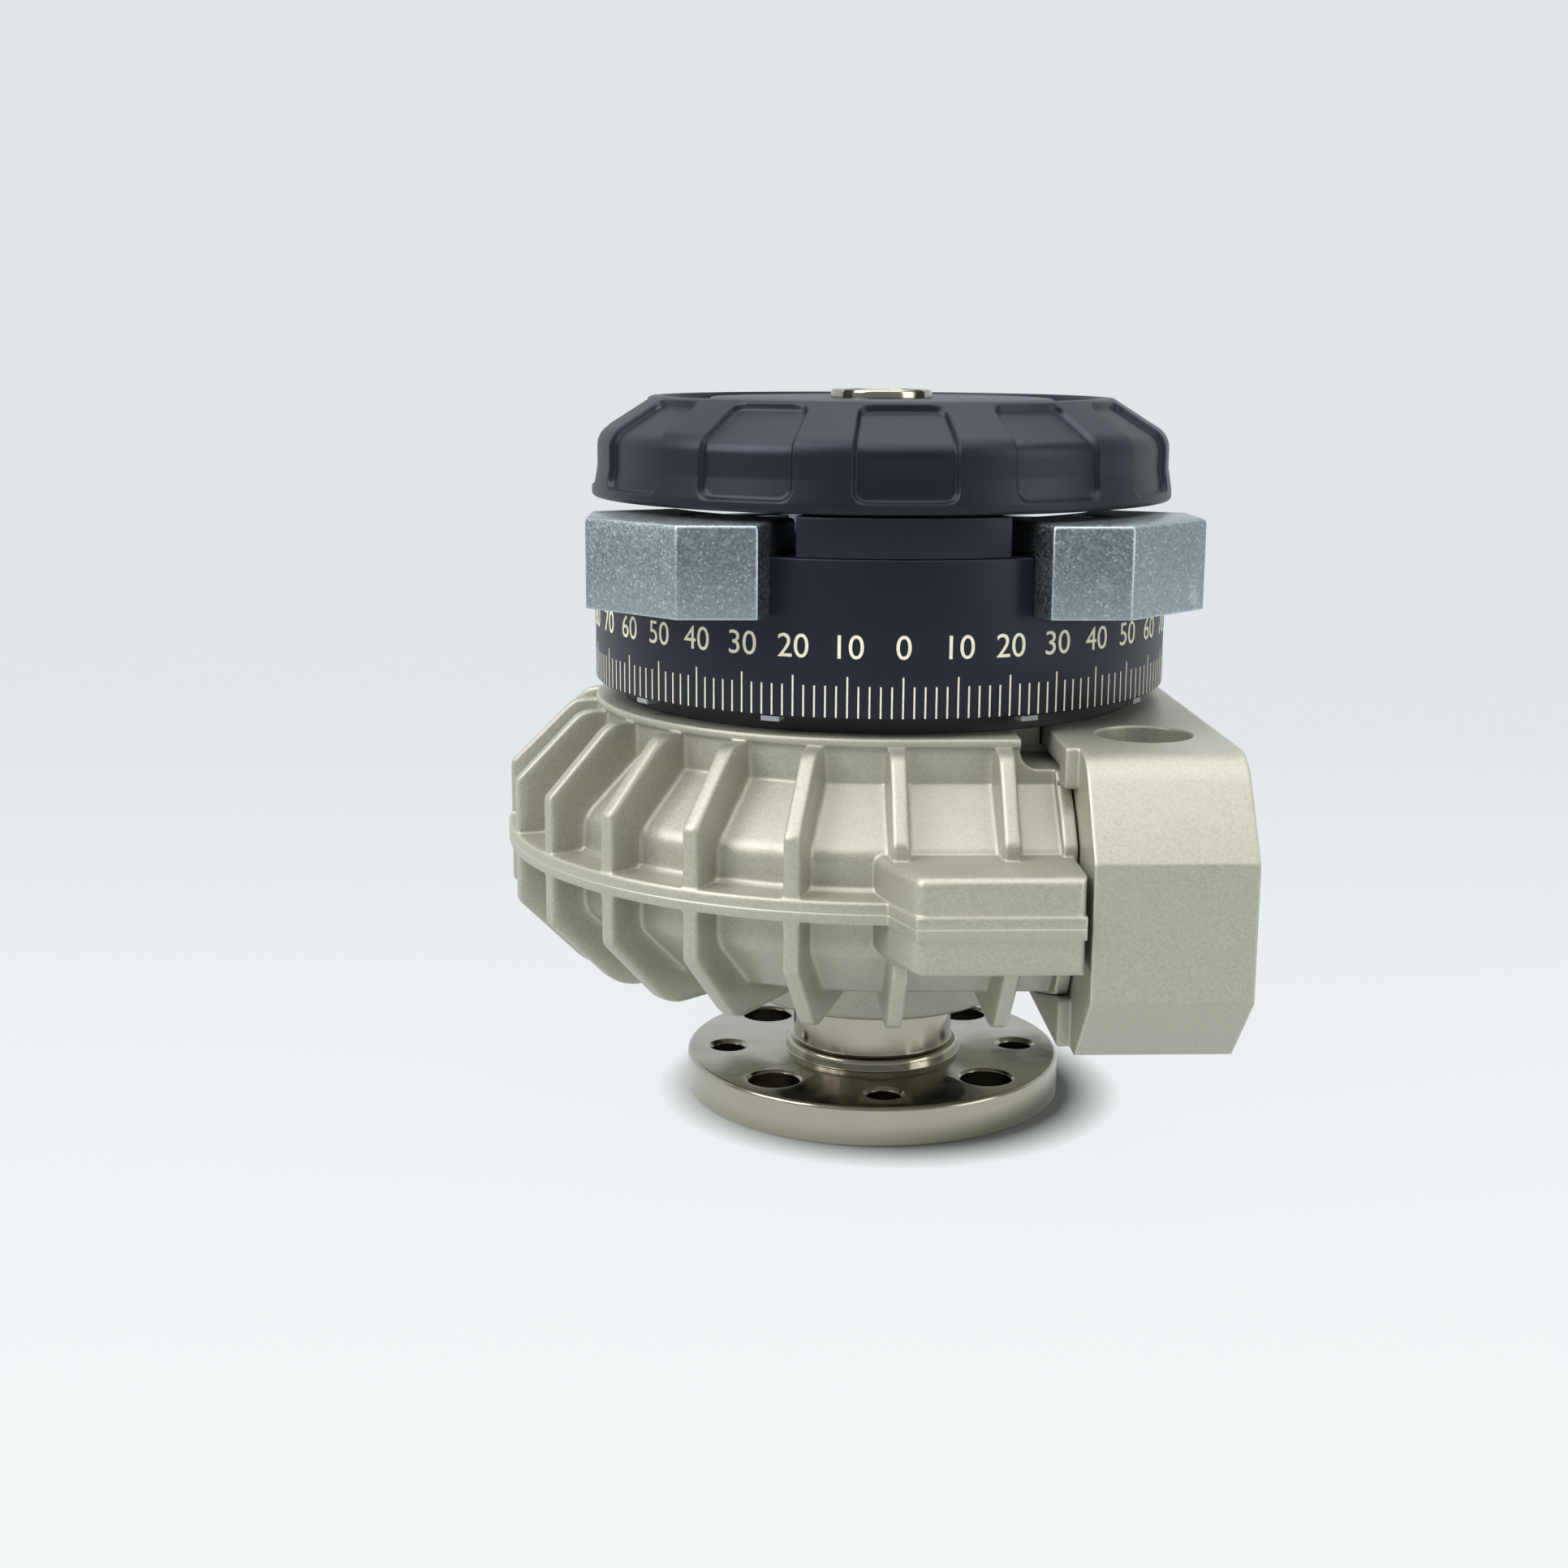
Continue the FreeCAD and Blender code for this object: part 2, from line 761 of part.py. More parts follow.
def tab_step():
    """Lowered strip of the upper half under the port block's top tab."""
    reach = tab_half_length + tab_gap
    return box(tab_left_x - tab_gap, joint_plane_x + 1.0, -reach, reach, top_tab_z - tab_gap, housing_top_z + 1.0)


def other_half(sign):
    """Everything above (+1) or below (-1) the parting plane."""
    low, high = sorted((parting_z, parting_z + sign * half_cut_reach))
    return box(-half_cut_reach, half_cut_reach, -half_cut_reach, half_cut_reach, low, high)


def lip_notches():
    """Lowered ends of the lip next to the port block, with a round step."""
    far = joint_plane_x + 5.0
    top = housing_top_z + 5.0
    floor = housing_top_z - lip_end_drop
    outline = [(lip_end_x, floor, lip_end_round), (far, floor, 0.0), (far, top, 0.0), (lip_end_x, top, 0.0)]
    width = lip_radius + 5.0 - lip_notch_inner_y
    back = rounded_section(outline).extrude(Vector(0, width, 0))
    back.translate(Vector(0, lip_notch_inner_y, 0))
    return [back, mirrored_to_back(back)]


def lug_bores(radius, z_low, z_high):
    """Upright holes at the four housing screws."""
    bores = []
    for x in lug_screw_x:
        for side in (-1, 1):
            bores.append(post(radius, x, side * lug_screw_y, z_low, z_high))
    return bores


def dowel_bores():
    """Holes of the two dowel pins."""
    reach = dowel_half_length + slide_gap
    return [post(dowel_radius + press_gap, lug_pin_x, side * lug_screw_y, parting_z - reach, parting_z + reach)
            for side in (-1, 1)]


def block_screw_bores(radius, x_low, x_high):
    """Holes along X for the four port block screws."""
    bores = []
    for side in (-1, 1):
        for level in (-1, 1):
            z = parting_z + level * block_screw_offset_z
            bores.append(bar_x(radius, x_low, x_high, side * block_screw_y, z))
    return bores


def carrier_screw_bores(radius, z_low, z_high):
    """Upright holes at the carrier screws."""
    bores = []
    for index in range(carrier_screw_count):
        point = polar(carrier_screw_circle, 45.0 + 360.0 * index / carrier_screw_count, 0)
        bores.append(post(radius, point.x, point.y, z_low, z_high))
    return bores


def upper_housing():
    """Upper die-cast half with its ribs, lugs, bearing seat and screw holes."""
    solid = upper_shell().fuse(upper_ribs() + [end_flange(1)])
    solid = solid.cut([tab_step()] + lip_notches())
    solid = solid.fuse(both_lugs(1))
    cuts = chamber()
    cuts.append(disc(web_bore_radius, hub_top_z, housing_top_z + 1))
    cuts.append(disc(upper_bearing_outer_radius + press_gap, upper_bearing_z, housing_top_z + 1))
    cuts += lug_bores(housing_screw_radius + screw_gap, parting_z - 1, parting_z + housing_screw_reach)
    cuts += dowel_bores()
    cuts += block_screw_bores(block_screw_radius + screw_gap, block_screw_end_x, block_left_x + 1)
    cuts += carrier_screw_bores(carrier_screw_radius + screw_gap, housing_top_z - carrier_screw_depth, housing_top_z + 1)
    cuts.append(other_half(-1))
    return solid.cut(cuts)


def lower_housing():
    """Lower die-cast half with its ribs, lugs, bearing neck and screw holes."""
    solid = lower_shell().fuse(lower_ribs() + [end_flange(-1)])
    solid = solid.fuse(both_lugs(-1))
    lug_bottom = parting_z - lug_half_height
    seat = lower_bearing_outer_radius + press_gap
    cuts = chamber()
    cuts.append(disc(web_bore_radius, lower_shoulder_z - 1, hub_bottom_z + 1))
    cuts.append(disc(web_relief_radius, lower_shoulder_z - 1, lower_shoulder_z + web_relief_depth))
    cuts.append(disc(seat, housing_bottom_z - 1, lower_shoulder_z))
    cuts.append(disc(seat + circlip_groove_depth, circlip_z, circlip_z + circlip_thickness))
    cuts += lug_bores(housing_screw_radius + screw_gap, lug_bottom - 1, parting_z + 1)
    head_top = parting_z - housing_screw_grip
    cuts += lug_bores(housing_screw_head_radius + slide_gap, lug_bottom - 1, head_top)
    cuts += dowel_bores()
    cuts += block_screw_bores(block_screw_radius + screw_gap, block_screw_end_x, block_left_x + 1)
    cuts.append(housing_seal_shape(0.0))
    cuts.append(other_half(1))
    return solid.cut(cuts)


def housing_seal_shape(gap):
    """Cord that seals the parting faces outside the chamber."""
    inner = seal_groove_radius - seal_groove_width / 2.0 + gap
    outer = seal_groove_radius + seal_groove_width / 2.0 - gap
    low = parting_z - seal_groove_depth + gap
    return drawn_round(section([(inner, low), (outer, low), (outer, parting_z), (inner, parting_z)]), seal_end_x - gap)


def housing_screws():
    """Four screws that go up through the lower lugs into the upper ones."""
    length = housing_screw_grip + housing_screw_reach - screw_end_gap
    screw = socket_screw(housing_screw_radius, housing_screw_head_radius, housing_screw_head_height, length)
    screws = []
    for x in lug_screw_x:
        for side in (-1, 1):
            seat = Vector(x, side * lug_screw_y, parting_z - housing_screw_grip)
            screws.append(placed(screw, seat, Vector(0, 0, -1)))
    return screws


def dowel_pins():
    """Two pins that line up the lugs."""
    low = parting_z - dowel_half_length
    high = parting_z + dowel_half_length
    return [post(dowel_radius, lug_pin_x, side * lug_screw_y, low, high) for side in (-1, 1)]


def block_outline():
    """Side outline of the port block, as (y, z) points."""
    top = housing_top_z
    bottom = block_bottom_z
    half = block_half_length
    upper = [(half, top - block_upper_facet_height), (half - block_upper_facet_run, top)]
    lower = [(half - block_lower_facet_run, bottom), (half, bottom + block_lower_facet_height)]
    right = lower + upper
    left = [(-y, z) for y, z in reversed(right)]
    return right + left


def block_seat():
    """Raised seat of the port block that meets the end faces of both halves."""
    reach = port_seal_outer_y + seat_margin
    height = port_seal_half_height + seat_margin
    solid = box(joint_plane_x, block_left_x + 1.0, -reach, reach, parting_z - height, parting_z + height)
    corners = [edge for edge in solid.Edges if edge.BoundBox.XLength > 0.1]
    return solid.makeFillet(port_seal_corner + seat_margin, corners)


def block_tabs():
    """Two tabs of the port block, above and below the housing's end."""
    far = block_left_x + 1.0
    top = box(tab_left_x, far, -tab_half_length, tab_half_length, top_tab_z, housing_top_z)
    outline = end_flange_outline(-1, tab_gap)[1:]
    right = [(block_half_length, block_bottom_z), (block_half_length, outline[0][1])] + outline
    left = [(-y, z) for y, z in reversed(right)]
    span = box(tab_left_x, far, -tab_half_length, tab_half_length, block_bottom_z, parting_z)
    return [top, side_prism(right + left, tab_left_x, far).common(span)]


def port_block():
    """Port block with its facets, mounting holes, supply ports and seal grooves."""
    body = side_prism(block_outline(), block_left_x, block_right_x)
    top_edges = []
    side_edges = []
    for edge in body.Edges:
        box_of_edge = edge.BoundBox
        along_x = box_of_edge.XLength > 1.0
        if along_x and abs(box_of_edge.Center.z - housing_top_z) < 0.01:
            top_edges.append(edge)
    body = body.makeFillet(block_top_round, top_edges)
    for edge in body.Edges:
        on_right = abs(edge.BoundBox.XMin - block_right_x) < 0.01 and abs(edge.BoundBox.XMax - block_right_x) < 0.01
        if on_right:
            side_edges.append(edge)
    body = body.makeFillet(block_edge_round, side_edges)
    body = body.fuse([block_seat()] + block_tabs())
    bottom = block_bottom_z
    cuts = []
    for side in (-1, 1):
        y = side * mount_hole_y
        cuts.append(post(mount_hole_radius, mount_hole_x, y, bottom - 1, housing_top_z + 1))
        cuts.append(post(mount_counterbore_radius, mount_hole_x, y, housing_top_z - mount_counterbore_depth, housing_top_z + 1))
        cuts.append(post(mount_counterbore_radius, mount_hole_x, y, bottom - 1, bottom + mount_counterbore_depth))
        port = side * port_y
        cuts.append(bar_x(port_radius, block_right_x - port_depth, block_right_x + 1, port, parting_z))
        cuts.append(bar_x(port_spot_radius, block_right_x - port_spot_depth, block_right_x + 1, port, parting_z))
        cuts.append(bar_x(passage_radius, joint_plane_x - 1, block_right_x - port_depth + 1, port, parting_z))
        cuts.append(port_seal_shape(side, 0.0))
    cuts += block_screw_bores(block_screw_radius + screw_gap + 0.15, joint_plane_x - 1, block_right_x + 1)
    cuts += block_screw_bores(block_screw_head_radius + slide_gap + 0.2, block_screw_seat_x, block_right_x + 1)
    return body.cut(cuts)


def rounded_loop(side, grow):
    """Rounded rectangle around one end of the chamber, as a thin plate on the joint plane."""
    inner_y = side * (port_seal_inner_y - grow)
    y_low, y_high = sorted((inner_y, side * (port_seal_outer_y + grow)))
    z_low = parting_z - port_seal_half_height - grow
    z_high = parting_z + port_seal_half_height + grow
    solid = box(joint_plane_x, joint_plane_x + port_seal_depth, y_low, y_high, z_low, z_high)
    outer = [edge for edge in solid.Edges if edge_at(edge, inner_y) is False]
    solid = solid.makeFillet(port_seal_corner + grow, outer)
    inner = [edge for edge in solid.Edges if edge_at(edge, inner_y)]
    return solid.makeFillet(port_seal_inner_corner + grow, inner)


def edge_at(edge, y):
    """Whether an edge along X lies at a place y; None for the other edges."""
    near = 0.01
    if edge.BoundBox.XLength < port_seal_depth / 2.0:
        return None
    return abs(edge.BoundBox.Center.y - y) < near


def port_seal_shape(side, gap):
    """Face seal that lies in the port block around one end of the chamber."""
    loop = rounded_loop(side, port_seal_width / 2.0 - gap)
    return loop.cut(rounded_loop(side, gap - port_seal_width / 2.0))


def port_block_seals():
    """The two face seals between the port block and the housing."""
    return [port_seal_shape(side, slide_gap / 2.0) for side in (-1, 1)]


def port_block_screws():
    """Four screws that hold the port block to the two halves."""
    length = block_screw_seat_x - block_screw_end_x - 2.0 * screw_end_gap
    screw = socket_screw(block_screw_radius, block_screw_head_radius, block_screw_head_height, length)
    screws = []
    for side in (-1, 1):
        for level in (-1, 1):
            seat = Vector(block_screw_seat_x, side * block_screw_y, parting_z + level * block_screw_offset_z)
            screws.append(placed(screw, seat, Vector(1, 0, 0)))
    return screws


def divider_groove(gap):
    """Strip in the divider that wipes the hub."""
    half = divider_seal_half_width - gap
    opening = math.sqrt(chamber_radius ** 2 - (chamber_path_radius - hub_radius) ** 2)
    height = opening - press_gap - gap
    inner = hub_radius - 1.0
    strip = box(inner, hub_radius + divider_seal_depth - gap, -half, half, parting_z - height, parting_z + height)
    return strip.cut(disc(hub_radius + run_gap, parting_z - 30, parting_z + 30))


def chamber_divider():
    """Saddle that parts the two ends of the chamber, next to the port block."""
    core = torus_slice(chamber_radius - press_gap, 90.0 - divider_half_angle, 90.0 + divider_half_angle)
    window = box(divider_inner_x, joint_plane_x, -divider_half_width, divider_half_width, parting_z - 30, parting_z + 30)
    core = core.common(window)
    return core.cut([disc(hub_radius + slide_gap, parting_z - 30, parting_z + 30), divider_groove(0.0)])


def race_torus(path_radius, ball_radius, z):
    """Round groove that the balls run in."""
    return Part.makeTorus(path_radius, ball_radius + race_gap, Vector(0, 0, z))


def bearing_parts(inner, outer, z_low, width, ball_radius, ball_count):
    """Outer ring, inner ring, balls and cage of a ball bearing."""
    path = (inner + outer) / 2.0
    middle = z_low + width / 2.0
    land = ball_radius * race_land_share
    groove = race_torus(path, ball_radius, middle)
    outer_ring = ring(path + land, outer, z_low, z_low + width).cut(groove)
    inner_ring = ring(inner, path - land, z_low, z_low + width).cut(groove)
    balls = []
    pockets = []
    for index in range(ball_count):
        phi = 360.0 * index / ball_count
        centre = polar(path, phi, middle)
        outward = polar(1.0, phi, 0.0)
        balls.append(Part.makeSphere(ball_radius, centre))
        pocket_start = polar(path - ball_radius, phi, middle)
        pockets.append(Part.makeCylinder(ball_radius + race_gap, 2 * ball_radius, pocket_start, outward))
    cage = ring(path - cage_half_thickness, path + cage_half_thickness,
                middle - cage_half_height, middle + cage_half_height)
    return outer_ring, inner_ring, balls, cage.cut(pockets)


def shaft_seal(shaft_radius, outer, z_low, height):
    """Radial shaft seal with a stiff shell and a lip on the shaft."""
    shell = seal_shell_thickness
    lip = shaft_radius + run_gap
    high = z_low + height
    return spun([
        (lip, z_low + shell * 0.4),
        (lip + shell * 0.6, z_low),
        (outer, z_low),
        (outer, high),
        (outer - shell, high),
        (outer - shell, z_low + shell),
        (lip + shell * 1.2, z_low + shell),
        (lip + shell * 0.5, z_low + height * 0.75),
        (lip, z_low + height * 0.7),
    ])


def lower_circlip():
    """Spring ring that holds the lower bearing in its seat."""
    outer = lower_bearing_outer_radius + circlip_groove_depth - slide_gap
    band = ring(outer - circlip_width, outer, circlip_z + slide_gap, circlip_z + circlip_thickness)
    reach = circlip_open_half_angle
    opening = sector(outer - circlip_width - 2, outer + 2, circlip_z - 1, circlip_z + circlip_thickness + 1, -reach, reach)
    return band.cut(opening)


def carrier_profile():
    """Section of the stop carrier, from its bore outwards."""
    spigot = ring_inner_radius - screw_gap
    return [
        (carrier_bore_radius, housing_top_z),
        (carrier_neck_radius, housing_top_z),
        (carrier_neck_radius, ring_bottom_z),
        (spigot, ring_bottom_z),
        (spigot, ring_flange_z),
        (carrier_wall_inner_radius, ring_flange_z),
        (carrier_wall_inner_radius, carrier_floor_z),
        (carrier_bore_radius, carrier_floor_z),
    ]


def flange_screw_points(circle, angles):
    """Plan points of screws in the ring's flange."""
    return [polar(circle, phi, 0) for phi in angles]


def segment_screw_angles():
    """Angles of the two screws of the front segment."""
    return (-segment_screw_angle, segment_screw_angle)


def stop_carrier():
    """Hub that carries the scale ring on top of the housing."""
    cuts = carrier_screw_bores(carrier_screw_radius + screw_gap + 0.2, housing_top_z - 1, carrier_floor_z + 1)
    low = ring_flange_z - ring_screw_length
    for point in flange_screw_points(ring_screw_circle, ring_screw_angles):
        cuts.append(post(ring_screw_radius + screw_gap, point.x, point.y, low, ring_flange_z + 1))
    low = ring_flange_z - segment_screw_length
    for point in flange_screw_points(segment_screw_circle, segment_screw_angles()):
        cuts.append(post(segment_screw_radius + screw_gap, point.x, point.y, low, ring_flange_z + 1))
    return spun(carrier_profile()).cut(cuts)


def carrier_screws():
    """Screws that hold the carrier on the upper housing."""
    length = carrier_base_thickness + carrier_screw_depth - screw_end_gap
    screw = socket_screw(carrier_screw_radius, carrier_screw_head_radius, carrier_screw_head_height, length)
    screws = []
    for index in range(carrier_screw_count):
        seat = polar(carrier_screw_circle, 45.0 + 360.0 * index / carrier_screw_count, carrier_floor_z)
        screws.append(placed(screw, seat, Vector(0, 0, 1)))
    return screws


def ring_profile():
    """Section of the scale ring with its inner flange and its T-shaped clamping slot."""
    edge = ring_edge_chamfer
    slot_low = slot_cavity_top_z - slot_cavity_height
    narrow_in = slot_path_radius - slot_width / 2.0
    narrow_out = slot_path_radius + slot_width / 2.0
    wide_in = slot_path_radius - slot_cavity_width / 2.0
    wide_out = slot_path_radius + slot_cavity_width / 2.0
    return [
        (ring_inner_radius, ring_bottom_z),
        (ring_radius - edge, ring_bottom_z),
        (ring_radius, ring_bottom_z + edge),
        (ring_radius, ring_top_z - edge),
        (ring_radius - edge, ring_top_z),
        (narrow_out, ring_top_z),
        (narrow_out, slot_cavity_top_z),
        (wide_out, slot_cavity_top_z),
        (wide_out, slot_low),
        (wide_in, slot_low),
        (wide_in, slot_cavity_top_z),
        (narrow_in, slot_cavity_top_z),
        (narrow_in, ring_top_z),
        (ring_flange_inner_radius, ring_top_z),
        (ring_flange_inner_radius, ring_flange_z),
        (ring_inner_radius, ring_flange_z),
    ]


def countersunk(radius, head_radius, head_height, x, y, top, low):
    """Countersunk hole or screw body, head at the top."""
    cone = Part.makeCone(radius, head_radius, head_height, Vector(x, y, top - head_height))
    return cone.fuse(post(radius, x, y, low, top - head_height))


def scale_ring():
    """Graduated ring: outer wall, inner flange and clamping slot."""
    cuts = []
    for point in flange_screw_points(ring_screw_circle, ring_screw_angles):
        cuts.append(countersunk(ring_screw_radius + screw_gap, ring_screw_head_radius + screw_gap,
                                ring_screw_head_height, point.x, point.y, ring_top_z, ring_flange_z - 1))
    for point in flange_screw_points(segment_screw_circle, segment_screw_angles()):
        cuts.append(post(segment_screw_radius + screw_gap, point.x, point.y, ring_flange_z - 1, ring_top_z + 1))
    for phi in pad_angles:
        point = polar((pad_radius_inner + pad_radius_outer) / 2.0, phi, 0)
        cuts.append(post(pad_stem_radius + press_gap, point.x, point.y, ring_bottom_z - 1, ring_bottom_z + pad_stem_length))
    return spun(ring_profile()).cut(cuts)


def ring_screws():
    """Countersunk screws that hold the ring on its carrier."""
    screws = []
    for point in flange_screw_points(ring_screw_circle, ring_screw_angles):
        low = ring_flange_z - ring_screw_length + screw_end_gap
        screw = countersunk(ring_screw_radius, ring_screw_head_radius, ring_screw_head_height,
                            point.x, point.y, ring_top_z, low)
        slot = box(point.x - ring_screw_head_radius, point.x + ring_screw_head_radius,
                   point.y - 0.4, point.y + 0.4, ring_top_z - 0.8, ring_top_z + 1)
        screws.append(screw.cut(slot))
    return screws


def ring_pads():
    """Small pads pressed into the underside of the scale ring."""
    pads = []
    middle = (pad_radius_inner + pad_radius_outer) / 2.0
    half = math.degrees(pad_width / 2.0 / middle)
    for phi in pad_angles:
        plate = sector(pad_radius_inner, pad_radius_outer, ring_bottom_z - pad_height, ring_bottom_z, phi - half, phi + half)
        point = polar(middle, phi, 0)
        stem = post(pad_stem_radius, point.x, point.y, ring_bottom_z - 0.1, ring_bottom_z + pad_stem_length - 0.2)
        pads.append(plate.fuse(stem))
    return pads


def front_segment():
    """Raised segment at the scale's zero that the sliding stops meet."""
    solid = sector(segment_inner_radius, ring_radius, ring_top_z, segment_top_z, -segment_half_angle, segment_half_angle)
    cuts = []
    seat = segment_top_z - segment_screw_head_height - 0.3
    for point in flange_screw_points(segment_screw_circle, segment_screw_angles()):
        cuts.append(post(segment_screw_radius + screw_gap, point.x, point.y, ring_top_z - 1, seat + 1))
        cuts.append(post(segment_screw_head_radius + slide_gap, point.x, point.y, seat, segment_top_z + 1))
    return solid.cut(cuts)


def segment_screws():
    """Screws that hold the front segment on the ring and carrier."""
    seat = segment_top_z - segment_screw_head_height - 0.3
    length = seat - ring_flange_z + segment_screw_length - screw_end_gap
    screw = socket_screw(segment_screw_radius, segment_screw_head_radius, segment_screw_head_height, length)
    return [placed(screw, polar(segment_screw_circle, phi, seat), Vector(0, 0, 1)) for phi in segment_screw_angles()]


def stop_plan():
    """Plan outline of the right stop, from its inner end to its far end."""
    far_phi = 90.0 - stop_near_phi
    face = stop_face_distance
    near_inner = polar(stop_inner_radius, stop_near_phi, 0)
    far_inner = polar(stop_inner_radius, far_phi, 0)
    near_slope = math.tan(math.radians(stop_near_phi))
    far_y = face / math.tan(math.radians(far_phi))
    return [
        (near_inner.x, near_inner.y),
        (stop_front_distance * near_slope * 0.985, -stop_front_distance),
        (stop_facet_start, -stop_front_distance),
        (stop_front_distance, -stop_facet_start),
        (face, -far_y),
        (far_inner.x, far_inner.y),
    ]


def right_stop_block():
    """Right stop: faceted block that hangs over the ring's edge."""
    low = ring_top_z - stop_skirt_below_ring_top
    solid = prism(stop_plan(), low, stop_top_z)
    edges = []
    for edge in solid.Edges:
        centre = edge.BoundBox.Center
        level = edge.BoundBox.ZLength < 0.01
        outside = math.hypot(centre.x, centre.y) > ring_radius - stop_chamfer_zone
        if level and outside and centre.z > stop_top_z - 0.01:
            edges.append(edge)
    solid = solid.makeChamfer(stop_chamfer, edges)
    point = polar(slot_path_radius, stop_centre_phi, 0)
    seat = stop_top_z - clamp_screw_head_height
    cuts = [
        disc(ring_radius + slide_gap, low - 1, ring_top_z + slide_gap),
        disc(stop_inner_radius, low - 1, stop_top_z + 1),
        post(clamp_screw_radius + screw_gap, point.x, point.y, ring_top_z - 1, stop_top_z + 1),
        post(clamp_screw_head_radius + slide_gap, point.x, point.y, seat, stop_top_z + 1),
    ]
    return solid.cut(cuts)


def right_clamp_plate():
    """Nut plate of the right stop, inside the ring's slot."""
    half = slot_cavity_width / 2.0 - 2 * slide_gap
    top = slot_cavity_top_z - slide_gap
    plate = sector(slot_path_radius - half, slot_path_radius + half, top - clamp_thickness, top,
                   stop_centre_phi - clamp_half_angle, stop_centre_phi + clamp_half_angle)
    point = polar(slot_path_radius, stop_centre_phi, 0)
    return plate.cut(post(clamp_screw_radius + screw_gap, point.x, point.y, top - 10, top + 1))


def right_clamp_screw():
    """Clamping screw of the right stop."""
    seat = stop_top_z - clamp_screw_head_height
    low = slot_cavity_top_z - slide_gap - clamp_thickness
    screw = socket_screw(clamp_screw_radius, clamp_screw_head_radius, clamp_screw_head_height - 0.1, seat - low)
    return placed(screw, polar(slot_path_radius, stop_centre_phi, seat), Vector(0, 0, 1))


def key_box(width, half_length, depth, surface_radius, phi, middle_z, gap):
    """Feather key half in the shaft and half in the hub."""
    half = width / 2.0 + gap
    reach = half_length + gap
    solid = box(-half, half, -surface_radius - depth - gap, -surface_radius + depth, middle_z - reach, middle_z + reach)
    return turned(solid, phi)


def flange_shaft():
    """Hollow shaft with the output flange."""
    top = nut_top_z - shaft_end_below_nut
    bead_top = flange_top_z + neck_bead_height
    edges = [
        line((shaft_bore_radius, 0), (flange_radius - flange_bottom_chamfer, 0)),
        line((flange_radius - flange_bottom_chamfer, 0), (flange_radius, flange_bottom_chamfer)),
        line((flange_radius, flange_bottom_chamfer), (flange_radius, flange_top_z - flange_top_chamfer)),
        line((flange_radius, flange_top_z - flange_top_chamfer), (flange_radius - flange_top_chamfer, flange_top_z)),
        line((flange_radius - flange_top_chamfer, flange_top_z), (neck_bead_radius - 0.3, flange_top_z)),
        arc((neck_bead_radius - 0.3, flange_top_z), (neck_bead_radius, flange_top_z + neck_bead_height * 0.45),
            (neck_radius, bead_top)),
        line((neck_radius, bead_top), (neck_radius, lower_bearing_z)),
        line((neck_radius, lower_bearing_z), (shaft_middle_radius, lower_bearing_z)),
        line((shaft_middle_radius, lower_bearing_z), (shaft_middle_radius, upper_bearing_z)),
        line((shaft_middle_radius, upper_bearing_z), (shaft_upper_radius, upper_bearing_z)),
        line((shaft_upper_radius, upper_bearing_z), (shaft_upper_radius, cap_seat_z)),
        line((shaft_upper_radius, cap_seat_z), (shaft_thread_radius, cap_seat_z)),
        line((shaft_thread_radius, cap_seat_z), (shaft_thread_radius, top)),
        line((shaft_thread_radius, top), (shaft_bore_radius, top)),
        line((shaft_bore_radius, top), (shaft_bore_radius, 0)),
    ]
    solid = edge_path(edges).revolve(Vector(0, 0, 0), Vector(0, 0, 1), 360)
    cuts = []
    for index in range(flange_hole_count):
        tapped = index % 2 == 0
        radius = tapped_hole_radius if tapped else clear_hole_radius
        chamfer = tapped_hole_chamfer if tapped else clear_hole_chamfer
        under = clear_hole_chamfer
        point = polar(bolt_circle_radius, 360.0 * index / flange_hole_count, 0)
        cuts.append(post(radius, point.x, point.y, -1, flange_top_z + 1))
        cuts.append(Part.makeCone(radius, radius + chamfer, chamfer, Vector(point.x, point.y, flange_top_z - chamfer)))
        cuts.append(Part.makeCone(radius + under, radius, under, Vector(point.x, point.y, 0)))
    cuts.append(key_box(vane_key_width, vane_key_half_length, vane_key_depth, shaft_middle_radius, -90.0, parting_z, press_gap))
    cuts.append(lever_key_shape(press_gap))
    return solid.cut(cuts)


def lever_key_shape(gap):
    """Key of the stop lever."""
    middle = lever_bottom_z + 0.4 + lever_key_height / 2.0
    return key_box(lever_key_width, lever_key_height / 2.0, lever_key_depth, shaft_upper_radius, lever_phi, middle, gap)


def vane():
    """Hub and round-section piston that swings through the chamber."""
    arm = torus_slice(chamber_radius - vane_clearance, -90.0 - vane_half_angle, -90.0 + vane_half_angle)
    hub = disc(hub_radius, hub_bottom_z, hub_top_z)
    solid = hub.fuse(arm)
    cuts = [disc(shaft_middle_radius + press_gap, parting_z - 30, parting_z + 30)]
    cuts += [seal_band(side, 0.0) for side in (-1, 1)]
    cuts += [hub_seal(side, 0.0) for side in (-1, 1)]
    cuts.append(key_box(vane_key_width, hub_half_height + 1, vane_key_depth, shaft_middle_radius, -90.0, parting_z, press_gap))
    for side in (-1, 1):
        outer = -90.0 + side * (vane_half_angle + 2.0)
        inner = -90.0 + side * (vane_half_angle - vane_pocket_depth_angle)
        low, high = sorted((outer, inner))
        cuts.append(torus_slice(vane_pocket_radius, low, high))
    clear_above = disc(hub_radius, hub_top_z, hub_top_z + 20)
    clear_below = disc(hub_radius, hub_bottom_z - 20, hub_bottom_z)
    return solid.cut(cuts + [clear_above, clear_below])


def seal_band(side, gap):
    """Lip seal that runs around the piston."""
    middle = -90.0 + side * vane_seal_half_angle
    half = vane_seal_angle_width / 2.0 - gap
    outer = torus_slice(chamber_radius - vane_clearance + vane_seal_proud, middle - half, middle + half)
    inner = torus_slice(chamber_radius - vane_clearance - vane_seal_depth + gap, middle - half - 1, middle + half + 1)
    return outer.cut([inner, disc(hub_radius + slide_gap + gap, parting_z - 30, parting_z + 30)])


